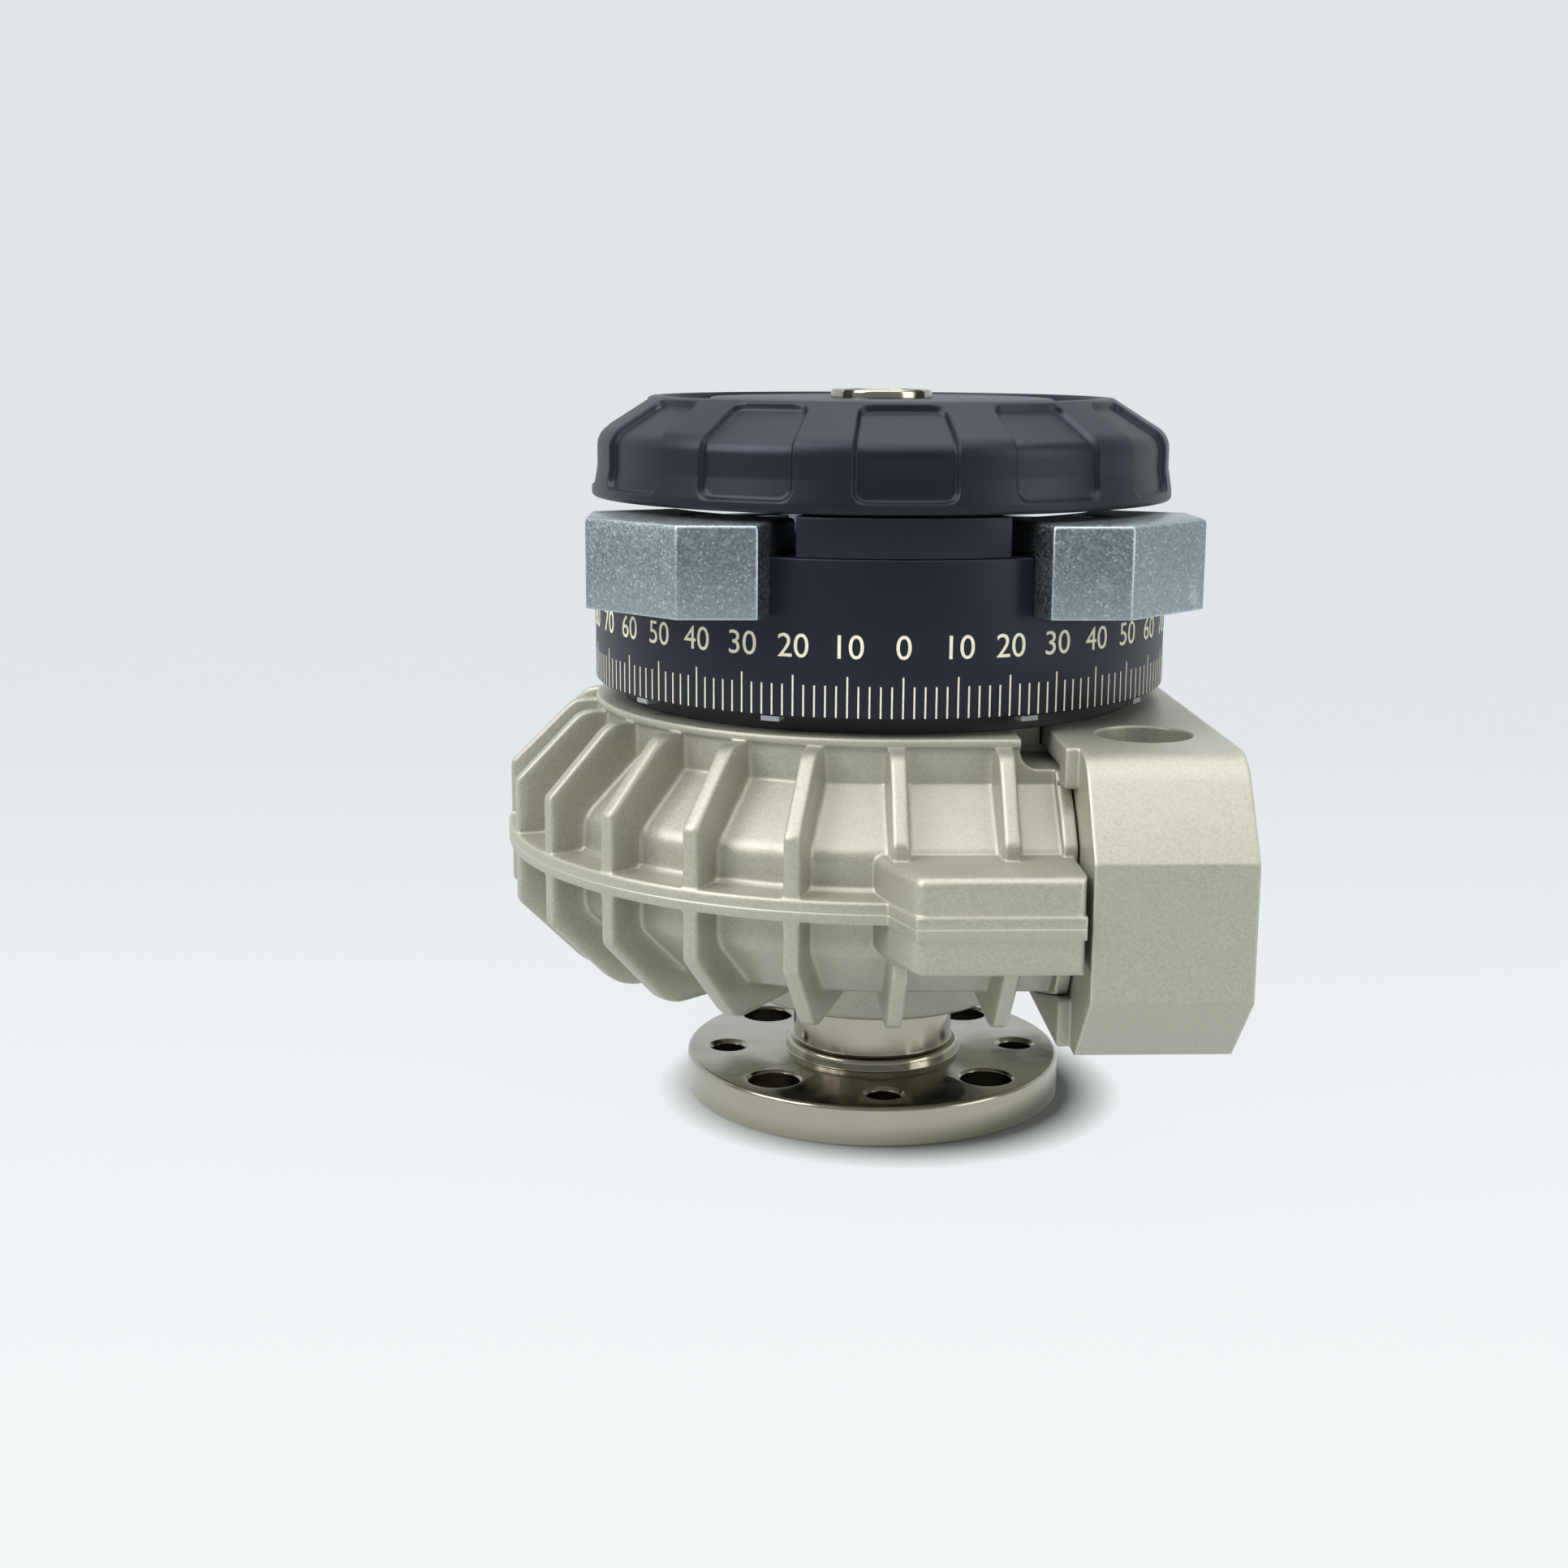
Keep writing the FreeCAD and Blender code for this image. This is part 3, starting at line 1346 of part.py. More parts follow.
def hub_seal(side, gap):
    """Face seal in one end of the hub."""
    face = parting_z + side * hub_half_height
    inner_face = face - side * (hub_seal_depth - gap)
    low, high = sorted((face, inner_face))
    return ring(hub_seal_radius - hub_seal_width / 2.0 + gap, hub_seal_radius + hub_seal_width / 2.0 - gap, low, high)


def stop_lever():
    """Lever on the shaft that meets the stops at the ends of the swing."""
    half = lever_half_angle()
    metal = half - cushion_thickness_angle
    arm_top = lever_bottom_z + lever_arm_height
    hub = disc(lever_hub_radius, lever_bottom_z, lever_hub_top_z)
    inner_arm = sector(lever_hub_radius - 2, lever_radius, lever_bottom_z, arm_top, lever_phi - metal, lever_phi + metal)
    waist = sector(lever_hub_radius - 2, cushion_inner_radius - cushion_edge, lever_bottom_z, arm_top, lever_phi - half, lever_phi + half)
    solid = hub.fuse([inner_arm, waist])
    cuts = [disc(shaft_upper_radius + press_gap, lever_bottom_z - 1, lever_hub_top_z + 1)]
    slot_half = lever_key_width / 2.0 + press_gap
    reach = shaft_upper_radius + lever_key_depth + press_gap
    cuts.append(box(-slot_half, slot_half, shaft_upper_radius - 2, reach, lever_bottom_z - 1, lever_hub_top_z + 1))
    return solid.cut(cuts)


def lever_half_angle():
    """Half width of the lever with its cushions, so that the swing ends at the stops."""
    far_phi = 90.0 - stop_near_phi
    return lever_phi - far_phi - stop_swing - lever_stop_gap_angle


def cushion_pads():
    """Elastic pads on the two flanks of the lever."""
    pads = []
    half = lever_half_angle()
    low = lever_bottom_z + cushion_edge
    high = lever_bottom_z + lever_arm_height - cushion_edge
    for side in (-1, 1):
        first = lever_phi + side * half
        second = lever_phi + side * (half - cushion_thickness_angle)
        start, end = sorted((first, second))
        pads.append(sector(cushion_inner_radius, cushion_outer_radius, low, high, start, end))
    return pads


def cap_profile():
    """Section of the cap: lip, wall, slope, rim, channel, disc and hub."""
    inside = cap_radius - cap_shell
    under_channel = cap_channel_z - cap_shell
    under_disc = cap_disc_z - cap_shell
    bore = shaft_thread_radius + press_gap
    seat_bore = shaft_upper_radius + press_gap
    return [
        (cap_lip_radius, cap_bottom_z, 0.4),
        (cap_lip_radius, cap_lip_top_z, 0.0),
        (cap_radius, cap_draft_top_z, 0.0),
        (cap_radius, cap_wall_top_z, cap_shoulder_round),
        (cap_rim_radius, cap_rim_z, cap_rim_round),
        (cap_rim_inner_radius, cap_rim_z, 0.4),
        (cap_rim_inner_radius - 0.5, cap_channel_z, 0.0),
        (cap_disc_radius + 0.5, cap_channel_z, 0.0),
        (cap_disc_radius, cap_disc_z, 0.5),
        (bore, cap_disc_z, 0.0),
        (bore, cap_seat_z, 0.0),
        (seat_bore, cap_seat_z, 0.0),
        (seat_bore, lever_hub_top_z, 0.0),
        (cap_hub_radius, lever_hub_top_z, 0.0),
        (cap_hub_radius, under_disc, 0.0),
        (cap_disc_radius - cap_shell, under_disc, 0.0),
        (cap_disc_radius - cap_shell, under_channel, 0.0),
        (cap_rim_inner_radius + 0.5, under_channel, 0.0),
        (inside, cap_wall_top_z - cap_shell * 0.6, 0.0),
        (inside, cap_bottom_z, 0.0),
    ]


def cap_pocket():
    """Cutter of one rounded recess that runs over the cap's wall and slope."""
    floor_wall = cap_radius - pocket_depth
    slope_run = cap_radius - cap_rim_radius
    slope_length = math.hypot(slope_run, cap_slope_height)
    along = (-slope_run / slope_length, cap_slope_height / slope_length)
    inward = (-along[1], along[0])
    low = cap_lip_top_z + pocket_bottom_above_lip
    top = (cap_rim_radius - along[0] * pocket_top_margin, cap_rim_z - along[1] * pocket_top_margin)
    sunk_top = (top[0] - abs(inward[0]) * pocket_depth, top[1] - abs(inward[1]) * pocket_depth)
    knee_z = cap_wall_top_z - pocket_depth * 0.35
    outline = [
        (floor_wall, low, 0.0),
        (cap_radius + 3.0, low, 0.0),
        (cap_radius + 3.0, top[1] + 3.0, 0.0),
        (top[0] + abs(inward[0]) * 3.0, top[1] + 3.0, 0.0),
        (sunk_top[0], sunk_top[1], 0.0),
        (floor_wall, knee_z, cap_shoulder_round - pocket_depth),
    ]
    span = 2.0 * pocket_half_angle
    cutter = spun_rounded(outline, span)
    corners = []
    for edge in cutter.Edges:
        first = edge.Vertexes[0].Point
        last = edge.Vertexes[-1].Point
        radii = [math.hypot(first.x, first.y), math.hypot(last.x, last.y)]
        low_edge = abs(first.z - low) < 0.01 and abs(last.z - low) < 0.01
        across = abs(radii[0] - radii[1]) > 1.0
        if low_edge and across:
            corners.append(edge)
        high_edge = min(first.z, last.z) > top[1] - 3.0 and across and min(radii) < top[0] + 0.01
        if high_edge:
            corners.append(edge)
    rounded = cutter.makeFillet(pocket_round, corners)
    return turned(rounded, -90.0 - pocket_half_angle)


def cap():
    """Turning cap with its ring of recesses and a raised pointer."""
    cutter = cap_pocket()
    cutters = [turned(cutter, 360.0 * index / pocket_count) for index in range(pocket_count)]
    solid = spun_rounded(cap_profile()).cut(cutters)
    pointer = prism([
        (-pointer_half_width, -pointer_inner_radius),
        (pointer_half_width, -pointer_inner_radius),
        (0.0, -pointer_outer_radius),
    ], cap_disc_z - 0.2, cap_disc_z + pointer_height)
    return solid.fuse(pointer)


def cap_nut():
    """Slotted nut that clamps the cap."""
    solid = ring(shaft_thread_radius + screw_gap, nut_radius, cap_disc_z, nut_top_z)
    edges = [edge for edge in solid.Edges if edge.Closed and edge.BoundBox.ZMin > nut_top_z - 0.01
             and edge.BoundBox.XLength > 2 * nut_radius - 0.1]
    solid = solid.makeChamfer(0.4, edges)
    cuts = []
    for index in range(nut_slot_count):
        half = nut_slot_width / 2.0
        slot = box(-half, half, -nut_radius - 1, -nut_radius + nut_slot_depth, cap_disc_z - 1, nut_top_z + 1)
        cuts.append(turned(slot, 45.0 + 360.0 * index / nut_slot_count))
    return solid.cut(cuts)


def build_parts():
    """All nodes by name, each with its list of solids."""
    lower = bearing_parts(shaft_middle_radius, lower_bearing_outer_radius, lower_bearing_z,
                          lower_bearing_width, lower_bearing_ball_radius, lower_bearing_ball_count)
    upper = bearing_parts(shaft_upper_radius, upper_bearing_outer_radius, upper_bearing_z,
                          upper_bearing_width, upper_bearing_ball_radius, upper_bearing_ball_count)
    block = right_stop_block()
    plate = right_clamp_plate()
    screw = right_clamp_screw()
    return {
        "upper_housing": [upper_housing()],
        "lower_housing": [lower_housing()],
        "housing_seal": [housing_seal_shape(slide_gap / 2.0)],
        "housing_screws": housing_screws(),
        "dowel_pins": dowel_pins(),
        "port_block": [port_block()],
        "port_block_seals": port_block_seals(),
        "port_block_screws": port_block_screws(),
        "chamber_divider": [chamber_divider()],
        "divider_seal": [divider_groove(press_gap)],
        "lower_bearing_outer_ring": [lower[0]],
        "lower_bearing_inner_ring": [lower[1]],
        "lower_bearing_balls": lower[2],
        "lower_bearing_cage": [lower[3]],
        "upper_bearing_outer_ring": [upper[0]],
        "upper_bearing_inner_ring": [upper[1]],
        "upper_bearing_balls": upper[2],
        "upper_bearing_cage": [upper[3]],
        "lower_shaft_seal": [shaft_seal(neck_radius, lower_bearing_outer_radius, lower_seal_z, lower_seal_height)],
        "upper_shaft_seal": [shaft_seal(shaft_upper_radius, upper_bearing_outer_radius,
                                        housing_top_z - upper_seal_height - 0.2, upper_seal_height)],
        "lower_circlip": [lower_circlip()],
        "stop_carrier": [stop_carrier()],
        "carrier_screws": carrier_screws(),
        "scale_ring": [scale_ring()],
        "ring_screws": ring_screws(),
        "ring_pads": ring_pads(),
        "front_segment": [front_segment()],
        "segment_screws": segment_screws(),
        "right_stop_block": [block],
        "right_clamp_plate": [plate],
        "right_clamp_screw": [screw],
        "left_stop_block": [mirrored(block)],
        "left_clamp_plate": [mirrored(plate)],
        "left_clamp_screw": [mirrored(screw)],
        "flange_shaft": [flange_shaft()],
        "vane": [vane()],
        "vane_seals": [seal_band(side, 0.2) for side in (-1, 1)],
        "hub_seals": [hub_seal(side, press_gap) for side in (-1, 1)],
        "vane_key": [key_box(vane_key_width, vane_key_half_length, vane_key_depth, shaft_middle_radius,
                             -90.0, parting_z, 0.0)],
        "stop_lever": [stop_lever()],
        "lever_key": [lever_key_shape(0.0)],
        "cushion_pads": cushion_pads(),
        "cap": [cap()],
        "cap_nut": [cap_nut()],
    }


def write_parts():
    """Write one STEP file per node."""
    os.makedirs("parts", exist_ok=True)
    for name, solids in build_parts().items():
        pieces = []
        for solid in solids:
            pieces += solid.Solids
        shape = pieces[0] if len(pieces) == 1 else Part.makeCompound(pieces)
        shape.exportStep("parts/" + name + ".step")
        print(name, len(pieces), "solids", round(shape.Volume / 1000.0, 2), "cm3", shape.isValid())


write_parts()
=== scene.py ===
"""Looks of a pneumatic rotary vane drive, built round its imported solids.

The pieces are the ribbed die-cast housing, port block, degree ring, end stops, cap and flanged shaft.
"""

from __future__ import annotations

import logging
import math
from dataclasses import dataclass, field
from enum import Enum
from typing import Any, Callable, Sequence

import bmesh
import bpy
from mathutils import Matrix, Vector

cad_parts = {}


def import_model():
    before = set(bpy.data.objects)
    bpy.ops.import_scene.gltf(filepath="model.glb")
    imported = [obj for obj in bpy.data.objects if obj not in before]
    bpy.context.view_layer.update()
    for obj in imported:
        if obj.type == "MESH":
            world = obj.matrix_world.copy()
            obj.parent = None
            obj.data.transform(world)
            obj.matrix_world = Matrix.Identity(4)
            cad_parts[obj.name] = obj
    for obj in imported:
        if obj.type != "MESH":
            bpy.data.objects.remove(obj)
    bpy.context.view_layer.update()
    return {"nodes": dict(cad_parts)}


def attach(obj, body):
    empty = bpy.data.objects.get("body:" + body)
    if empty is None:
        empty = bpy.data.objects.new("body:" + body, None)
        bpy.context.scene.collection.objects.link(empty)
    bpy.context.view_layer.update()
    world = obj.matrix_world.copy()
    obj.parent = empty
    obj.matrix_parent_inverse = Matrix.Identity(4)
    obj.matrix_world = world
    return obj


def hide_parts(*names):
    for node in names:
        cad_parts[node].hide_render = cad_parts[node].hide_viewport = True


LOG = logging.getLogger("rotary_drive")
MM = 0.001
FULL_TURN = 360.0
QUARTER_TURN = 90.0
# Angle in degrees above which an edge is shaded sharp.
SHARP = 30.0
# How far a cutter reaches past what it cuts, and how near two coordinates count as the same, in millimetres.
OVER = 1.0
NEAR = 0.01
# How strongly each finer layer of a noise shows, and the wave pattern's own factor on its coordinate.
NOISE_CONTRAST = 0.55
WAVE_PACE = 20.0

Pair = tuple[float, float]
Corner = tuple[float, float, float]

# Share of a rib's full height by the distance from the rib's middle in millimetres, down to its rounded foot.
RIB_SECTION: tuple[Pair, ...] = (
    (0.0, 1.0),
    (0.7, 1.0),
    (0.98, 0.992),
    (1.18, 0.965),
    (1.3, 0.915),
    (1.38, 0.7),
    (1.46, 0.3),
    (1.56, 0.11),
    (1.75, 0.04),
    (2.0, 0.012),
    (2.4, 0.0),
)


class Join(Enum):
    """How one closed mesh is joined with another."""

    ADD = "UNION"
    CUT = "DIFFERENCE"
    KEEP_COMMON = "INTERSECT"


class Side(Enum):
    """Upper or lower half, as the sign of its height above the parting plane."""

    UPPER = 1
    LOWER = -1


class Rib(Enum):
    """Kinds of ribs on the housing."""

    RADIAL = "radial"
    BESIDE_LUG = "beside lug"
    STRAIGHT = "straight"


def linear(hex_code: str) -> tuple[float, float, float, float]:
    """Turn an sRGB hex value into a linear colour.

    Args:
        hex_code: Six hex digits, with or without a leading hash.

    Returns:
        Linear red, green and blue with full alpha.
    """
    digits = hex_code.lstrip("#")
    channels = [int(digits[at : at + 2], 16) / 255.0 for at in (0, 2, 4)]
    low_limit, low_slope, offset, power = 0.04045, 12.92, 0.055, 2.4
    values = [c / low_slope if c <= low_limit else ((c + offset) / (1.0 + offset)) ** power for c in channels]
    return values[0], values[1], values[2], 1.0


def polar(radius: float, phi: float, height: float) -> Vector:
    """Point in millimetres at a radius and an angle from the front towards the port block."""
    angle = math.radians(phi)
    return Vector((radius * math.sin(angle), -radius * math.cos(angle), height))


def toward(start: Pair, end: Pair, length: float) -> Pair:
    """Point at a distance from one point towards another."""
    share = length / math.hypot(end[0] - start[0], end[1] - start[1])
    return start[0] + (end[0] - start[0]) * share, start[1] + (end[1] - start[1]) * share


def rounded_outline(corners: Sequence[Corner], steps: int = 6, closed: bool = True) -> list[Pair]:
    """Outline of straight runs with rounded corners.

    Args:
        corners: Points with the corner radius of each.
        steps: Number of pieces in each rounded corner.
        closed: Whether the last point joins the first.

    Returns:
        The points of the outline, in order.
    """
    points: list[Pair] = []
    count = len(corners)
    for index, (first, second, radius) in enumerate(corners):
        inside = closed or 0 < index < count - 1
        if radius <= 0.0 or not inside:
            points.append((first, second))
            continue
        corner = (first, second)
        before = toward(corner, corners[index - 1][:2], 1.0)
        after = toward(corner, corners[(index + 1) % count][:2], 1.0)
        one = (before[0] - first, before[1] - second)
        two = (after[0] - first, after[1] - second)
        half = math.acos(max(-1.0, min(1.0, one[0] * two[0] + one[1] * two[1]))) / 2.0
        reach = radius / math.tan(half)
        axis = toward((0.0, 0.0), (one[0] + two[0], one[1] + two[1]), radius / math.sin(half))
        centre = (first + axis[0], second + axis[1])
        start = toward(corner, before, reach)
        end = toward(corner, after, reach)
        turn_from = math.atan2(start[1] - centre[1], start[0] - centre[0])
        turn_to = math.atan2(end[1] - centre[1], end[0] - centre[0])
        sweep = (turn_to - turn_from + math.pi) % (2.0 * math.pi) - math.pi
        for step in range(steps + 1):
            angle = turn_from + sweep * step / steps
            points.append((centre[0] + radius * math.cos(angle), centre[1] + radius * math.sin(angle)))
    return points


def resampled(points: Sequence[Pair], count: int) -> list[Pair]:
    """Points at equal steps along an open run of points."""
    lengths = [0.0]
    for start, end in zip(points, points[1:]):
        lengths.append(lengths[-1] + math.hypot(end[0] - start[0], end[1] - start[1]))
    result: list[Pair] = []
    span = 0
    for index in range(count):
        wanted = lengths[-1] * index / (count - 1)
        while span < len(points) - 2 and lengths[span + 1] < wanted:
            span += 1
        step = max(lengths[span + 1] - lengths[span], 1e-9)
        share = (wanted - lengths[span]) / step
        first, second = points[span], points[span + 1]
        result.append((first[0] + (second[0] - first[0]) * share, first[1] + (second[1] - first[1]) * share))
    return result


def mesh_object(name: str, mesh: bmesh.types.BMesh) -> bpy.types.Object:
    """Put a bmesh, in millimetres, into the scene as an object in metres."""
    bmesh.ops.recalc_face_normals(mesh, faces=mesh.faces)
    mesh.transform(Matrix.Scale(MM, 4))
    data = bpy.data.meshes.new(name)
    mesh.to_mesh(data)
    mesh.free()
    piece = bpy.data.objects.new(name, data)
    bpy.context.scene.collection.objects.link(piece)
    return piece


def grid_mesh(rows: Sequence[Sequence[Vector]], wrap_rows: bool, wrap_columns: bool) -> bmesh.types.BMesh:
    """Mesh of quads over rows of points.

    Args:
        rows: Rows of points in millimetres, all of the same length.
        wrap_rows: Whether the last row joins the first.
        wrap_columns: Whether the last column joins the first.

    Returns:
        The new mesh.
    """
    mesh = bmesh.new()
    points = [[mesh.verts.new(point) for point in row] for row in rows]
    row_count, column_count = len(points), len(points[0])
    for row in range(row_count if wrap_rows else row_count - 1):
        upper = points[(row + 1) % row_count]
        for column in range(column_count if wrap_columns else column_count - 1):
            beside = (column + 1) % column_count
            mesh.faces.new((points[row][column], points[row][beside], upper[beside], upper[column]))
    return mesh


def close_end(mesh: bmesh.types.BMesh, ring: Sequence[bmesh.types.BMVert], centre: Vector) -> None:
    """Close a ring of points with triangles to its centre."""
    middle = mesh.verts.new(centre)
    for index, vertex in enumerate(ring):
        mesh.faces.new((vertex, ring[(index + 1) % len(ring)], middle))


def turned_ring(outline: Sequence[Pair], segments: int = 240) -> bmesh.types.BMesh:
    """Ring made by turning a closed outline of (radius, height) points about the shaft."""
    angles = [FULL_TURN * at / segments for at in range(segments)]
    rows = [[polar(radius, phi, height) for phi in angles] for radius, height in outline]
    return grid_mesh(rows, True, True)


def turned_sector(outline: Sequence[Pair], low: float, high: float, segments: int) -> bmesh.types.BMesh:
    """Closed part of a turned ring between two angles."""
    angles = [low + (high - low) * at / segments for at in range(segments + 1)]
    rows = [[polar(radius, phi, height) for phi in angles] for radius, height in outline]
    mesh = grid_mesh(rows, True, False)
    mesh.verts.ensure_lookup_table()
    width = segments + 1
    for column in (0, segments):
        mesh.faces.new([mesh.verts[row * width + column] for row in range(len(outline))])
    return mesh


def cone_mesh(
    radii: Pair, levels: Pair, x: float = 0.0, y: float = 0.0, segments: int = 64
) -> bmesh.types.BMesh:
    """Upright cone between two levels, with its radius at each, in millimetres."""
    low, high = levels
    mesh = bmesh.new()
    bmesh.ops.create_cone(
        mesh,
        cap_ends=True,
        segments=segments,
        radius1=radii[0],
        radius2=radii[1],
        depth=high - low,
        matrix=Matrix.Translation((x, y, (low + high) / 2.0)),
    )
    return mesh


def disc_mesh(
    radius: float, low: float, high: float, x: float = 0.0, y: float = 0.0, segments: int = 96
) -> bmesh.types.BMesh:
    """Upright cylinder in millimetres."""
    return cone_mesh((radius, radius), (low, high), x, y, segments)


def bar_mesh(radius: float, low: float, high: float, y: float, z: float) -> bmesh.types.BMesh:
    """Cylinder along X in millimetres."""
    mesh = bmesh.new()
    turn = Matrix.Rotation(math.radians(QUARTER_TURN), 4, "Y")
    place = Matrix.Translation(((low + high) / 2.0, y, z)) @ turn
    bmesh.ops.create_cone(
        mesh, cap_ends=True, segments=64, radius1=radius, radius2=radius, depth=high - low, matrix=place
    )
    return mesh


def slab(points: Sequence[Vector], pull: Vector) -> bmesh.types.BMesh:
    """Closed solid made by pulling a flat outline along a vector."""
    mesh = bmesh.new()
    near = [mesh.verts.new(point) for point in points]
    far = [mesh.verts.new(point + pull) for point in points]
    mesh.faces.new(near)
    mesh.faces.new(list(reversed(far)))
    for index in range(len(points)):
        beside = (index + 1) % len(points)
        mesh.faces.new((near[index], far[index], far[beside], near[beside]))
    return mesh


def plan_slab(points: Sequence[Pair], low: float, high: float) -> bmesh.types.BMesh:
    """Slab from an outline seen from above."""
    return slab([Vector((x, y, low)) for x, y in points], Vector((0.0, 0.0, high - low)))


def side_slab(points: Sequence[Pair], low: float, high: float) -> bmesh.types.BMesh:
    """Slab from an outline of (y, z) points, pulled along X."""
    return slab([Vector((low, y, z)) for y, z in points], Vector((high - low, 0.0, 0.0)))


def soften(
    mesh: bmesh.types.BMesh, chosen: Callable[[bmesh.types.BMEdge], bool], width: float, steps: int = 3
) -> None:
    """Round the chosen edges of a mesh."""
    mesh.edges.ensure_lookup_table()
    edges = [edge for edge in mesh.edges if chosen(edge)]
    round_profile = 0.5
    bmesh.ops.bevel(
        mesh,
        geom=edges,
        offset=width,
        segments=steps,
        profile=round_profile,
        affect="EDGES",
        clamp_overlap=True,
    )


def combine(target: bpy.types.Object, mesh: bmesh.types.BMesh, how: Join) -> None:
    """Join a closed mesh into an object, cut it out or keep what both share.

    Args:
        target: The object that is changed.
        mesh: The other solid, in millimetres.
        how: The kind of join.
    """
    other = mesh_object("cutter", mesh)
    modifier = target.modifiers.new("join", "BOOLEAN")
    modifier.operation = how.value
    modifier.solver = "MANIFOLD"
    modifier.object = other
    graph = bpy.context.evaluated_depsgraph_get()
    made = bpy.data.meshes.new_from_object(target.evaluated_get(graph))
    target.modifiers.remove(modifier)
    old = target.data
    name = old.name
    target.data = made
    bpy.data.meshes.remove(old)
    made.name = name
    bpy.data.objects.remove(other)


def smooth_by_angle(piece: bpy.types.Object, angle: float = SHARP) -> None:
    """Shade a piece smooth, with sharp edges above an angle in degrees."""
    piece.data.shade_smooth()
    piece.data.set_sharp_from_angle(angle=math.radians(angle))


def add_node(
    tree: bpy.types.NodeTree,
    kind: str,
    settings: dict[str, Any] | None = None,
    links: dict[str | int, bpy.types.NodeSocket] | None = None,
) -> bpy.types.Node:
    """Add a node with its settings and its links.

    Args:
        tree: The node tree.
        kind: The node's type name.
        settings: Values by the node's attribute name, or by input name or number.
        links: Sockets that feed the inputs, by input name or number.

    Returns:
        The new node.
    """
    made = tree.nodes.new(kind)
    for key, value in (settings or {}).items():
        if isinstance(key, str) and hasattr(made, key):
            setattr(made, key, value)
        else:
            made.inputs[key].default_value = value
    for key, socket in (links or {}).items():
        tree.links.new(socket, made.inputs[key])
    return made


def per_metre(millimetres: float) -> float:
    """Texture scale of a pattern that repeats about every so many millimetres."""
    return 1.0 / (millimetres * MM)


def blend(
    tree: bpy.types.NodeTree,
    under: str | bpy.types.NodeSocket,
    over: str | bpy.types.NodeSocket,
    value: bpy.types.NodeSocket,
    band: Pair = (0.0, 1.0),
    most: float = 1.0,
) -> bpy.types.NodeSocket:
    """Blend one tone into another while a value passes through a band.

    Args:
        tree: The node tree.
        under: Tone where the band begins, as a hex colour or a socket.
        over: Tone where the band ends, likewise.
        value: The value that decides.
        band: Where the blend begins and ends.
        most: Largest share of the second tone.

    Returns:
        The blended tone.
    """
    limits = {"From Min": band[0], "From Max": band[1], "To Max": most}
    share = add_node(tree, "ShaderNodeMapRange", limits, {"Value": value})
    settings: dict[Any, Any] = {"data_type": "RGBA"}
    links: dict[str | int, bpy.types.NodeSocket] = {0: share.outputs[0]}
    for number, tone in ((6, under), (7, over)):
        if isinstance(tone, str):
            settings[number] = linear(tone)
        else:
            links[number] = tone
    return add_node(tree, "ShaderNodeMix", settings, links).outputs[2]


@dataclass
class Surface:
    """A material while it is made: its nodes, its shader and the piece's own coordinates."""

    material: bpy.types.Material
    tree: bpy.types.NodeTree
    shader: bpy.types.Node
    place: bpy.types.NodeSocket


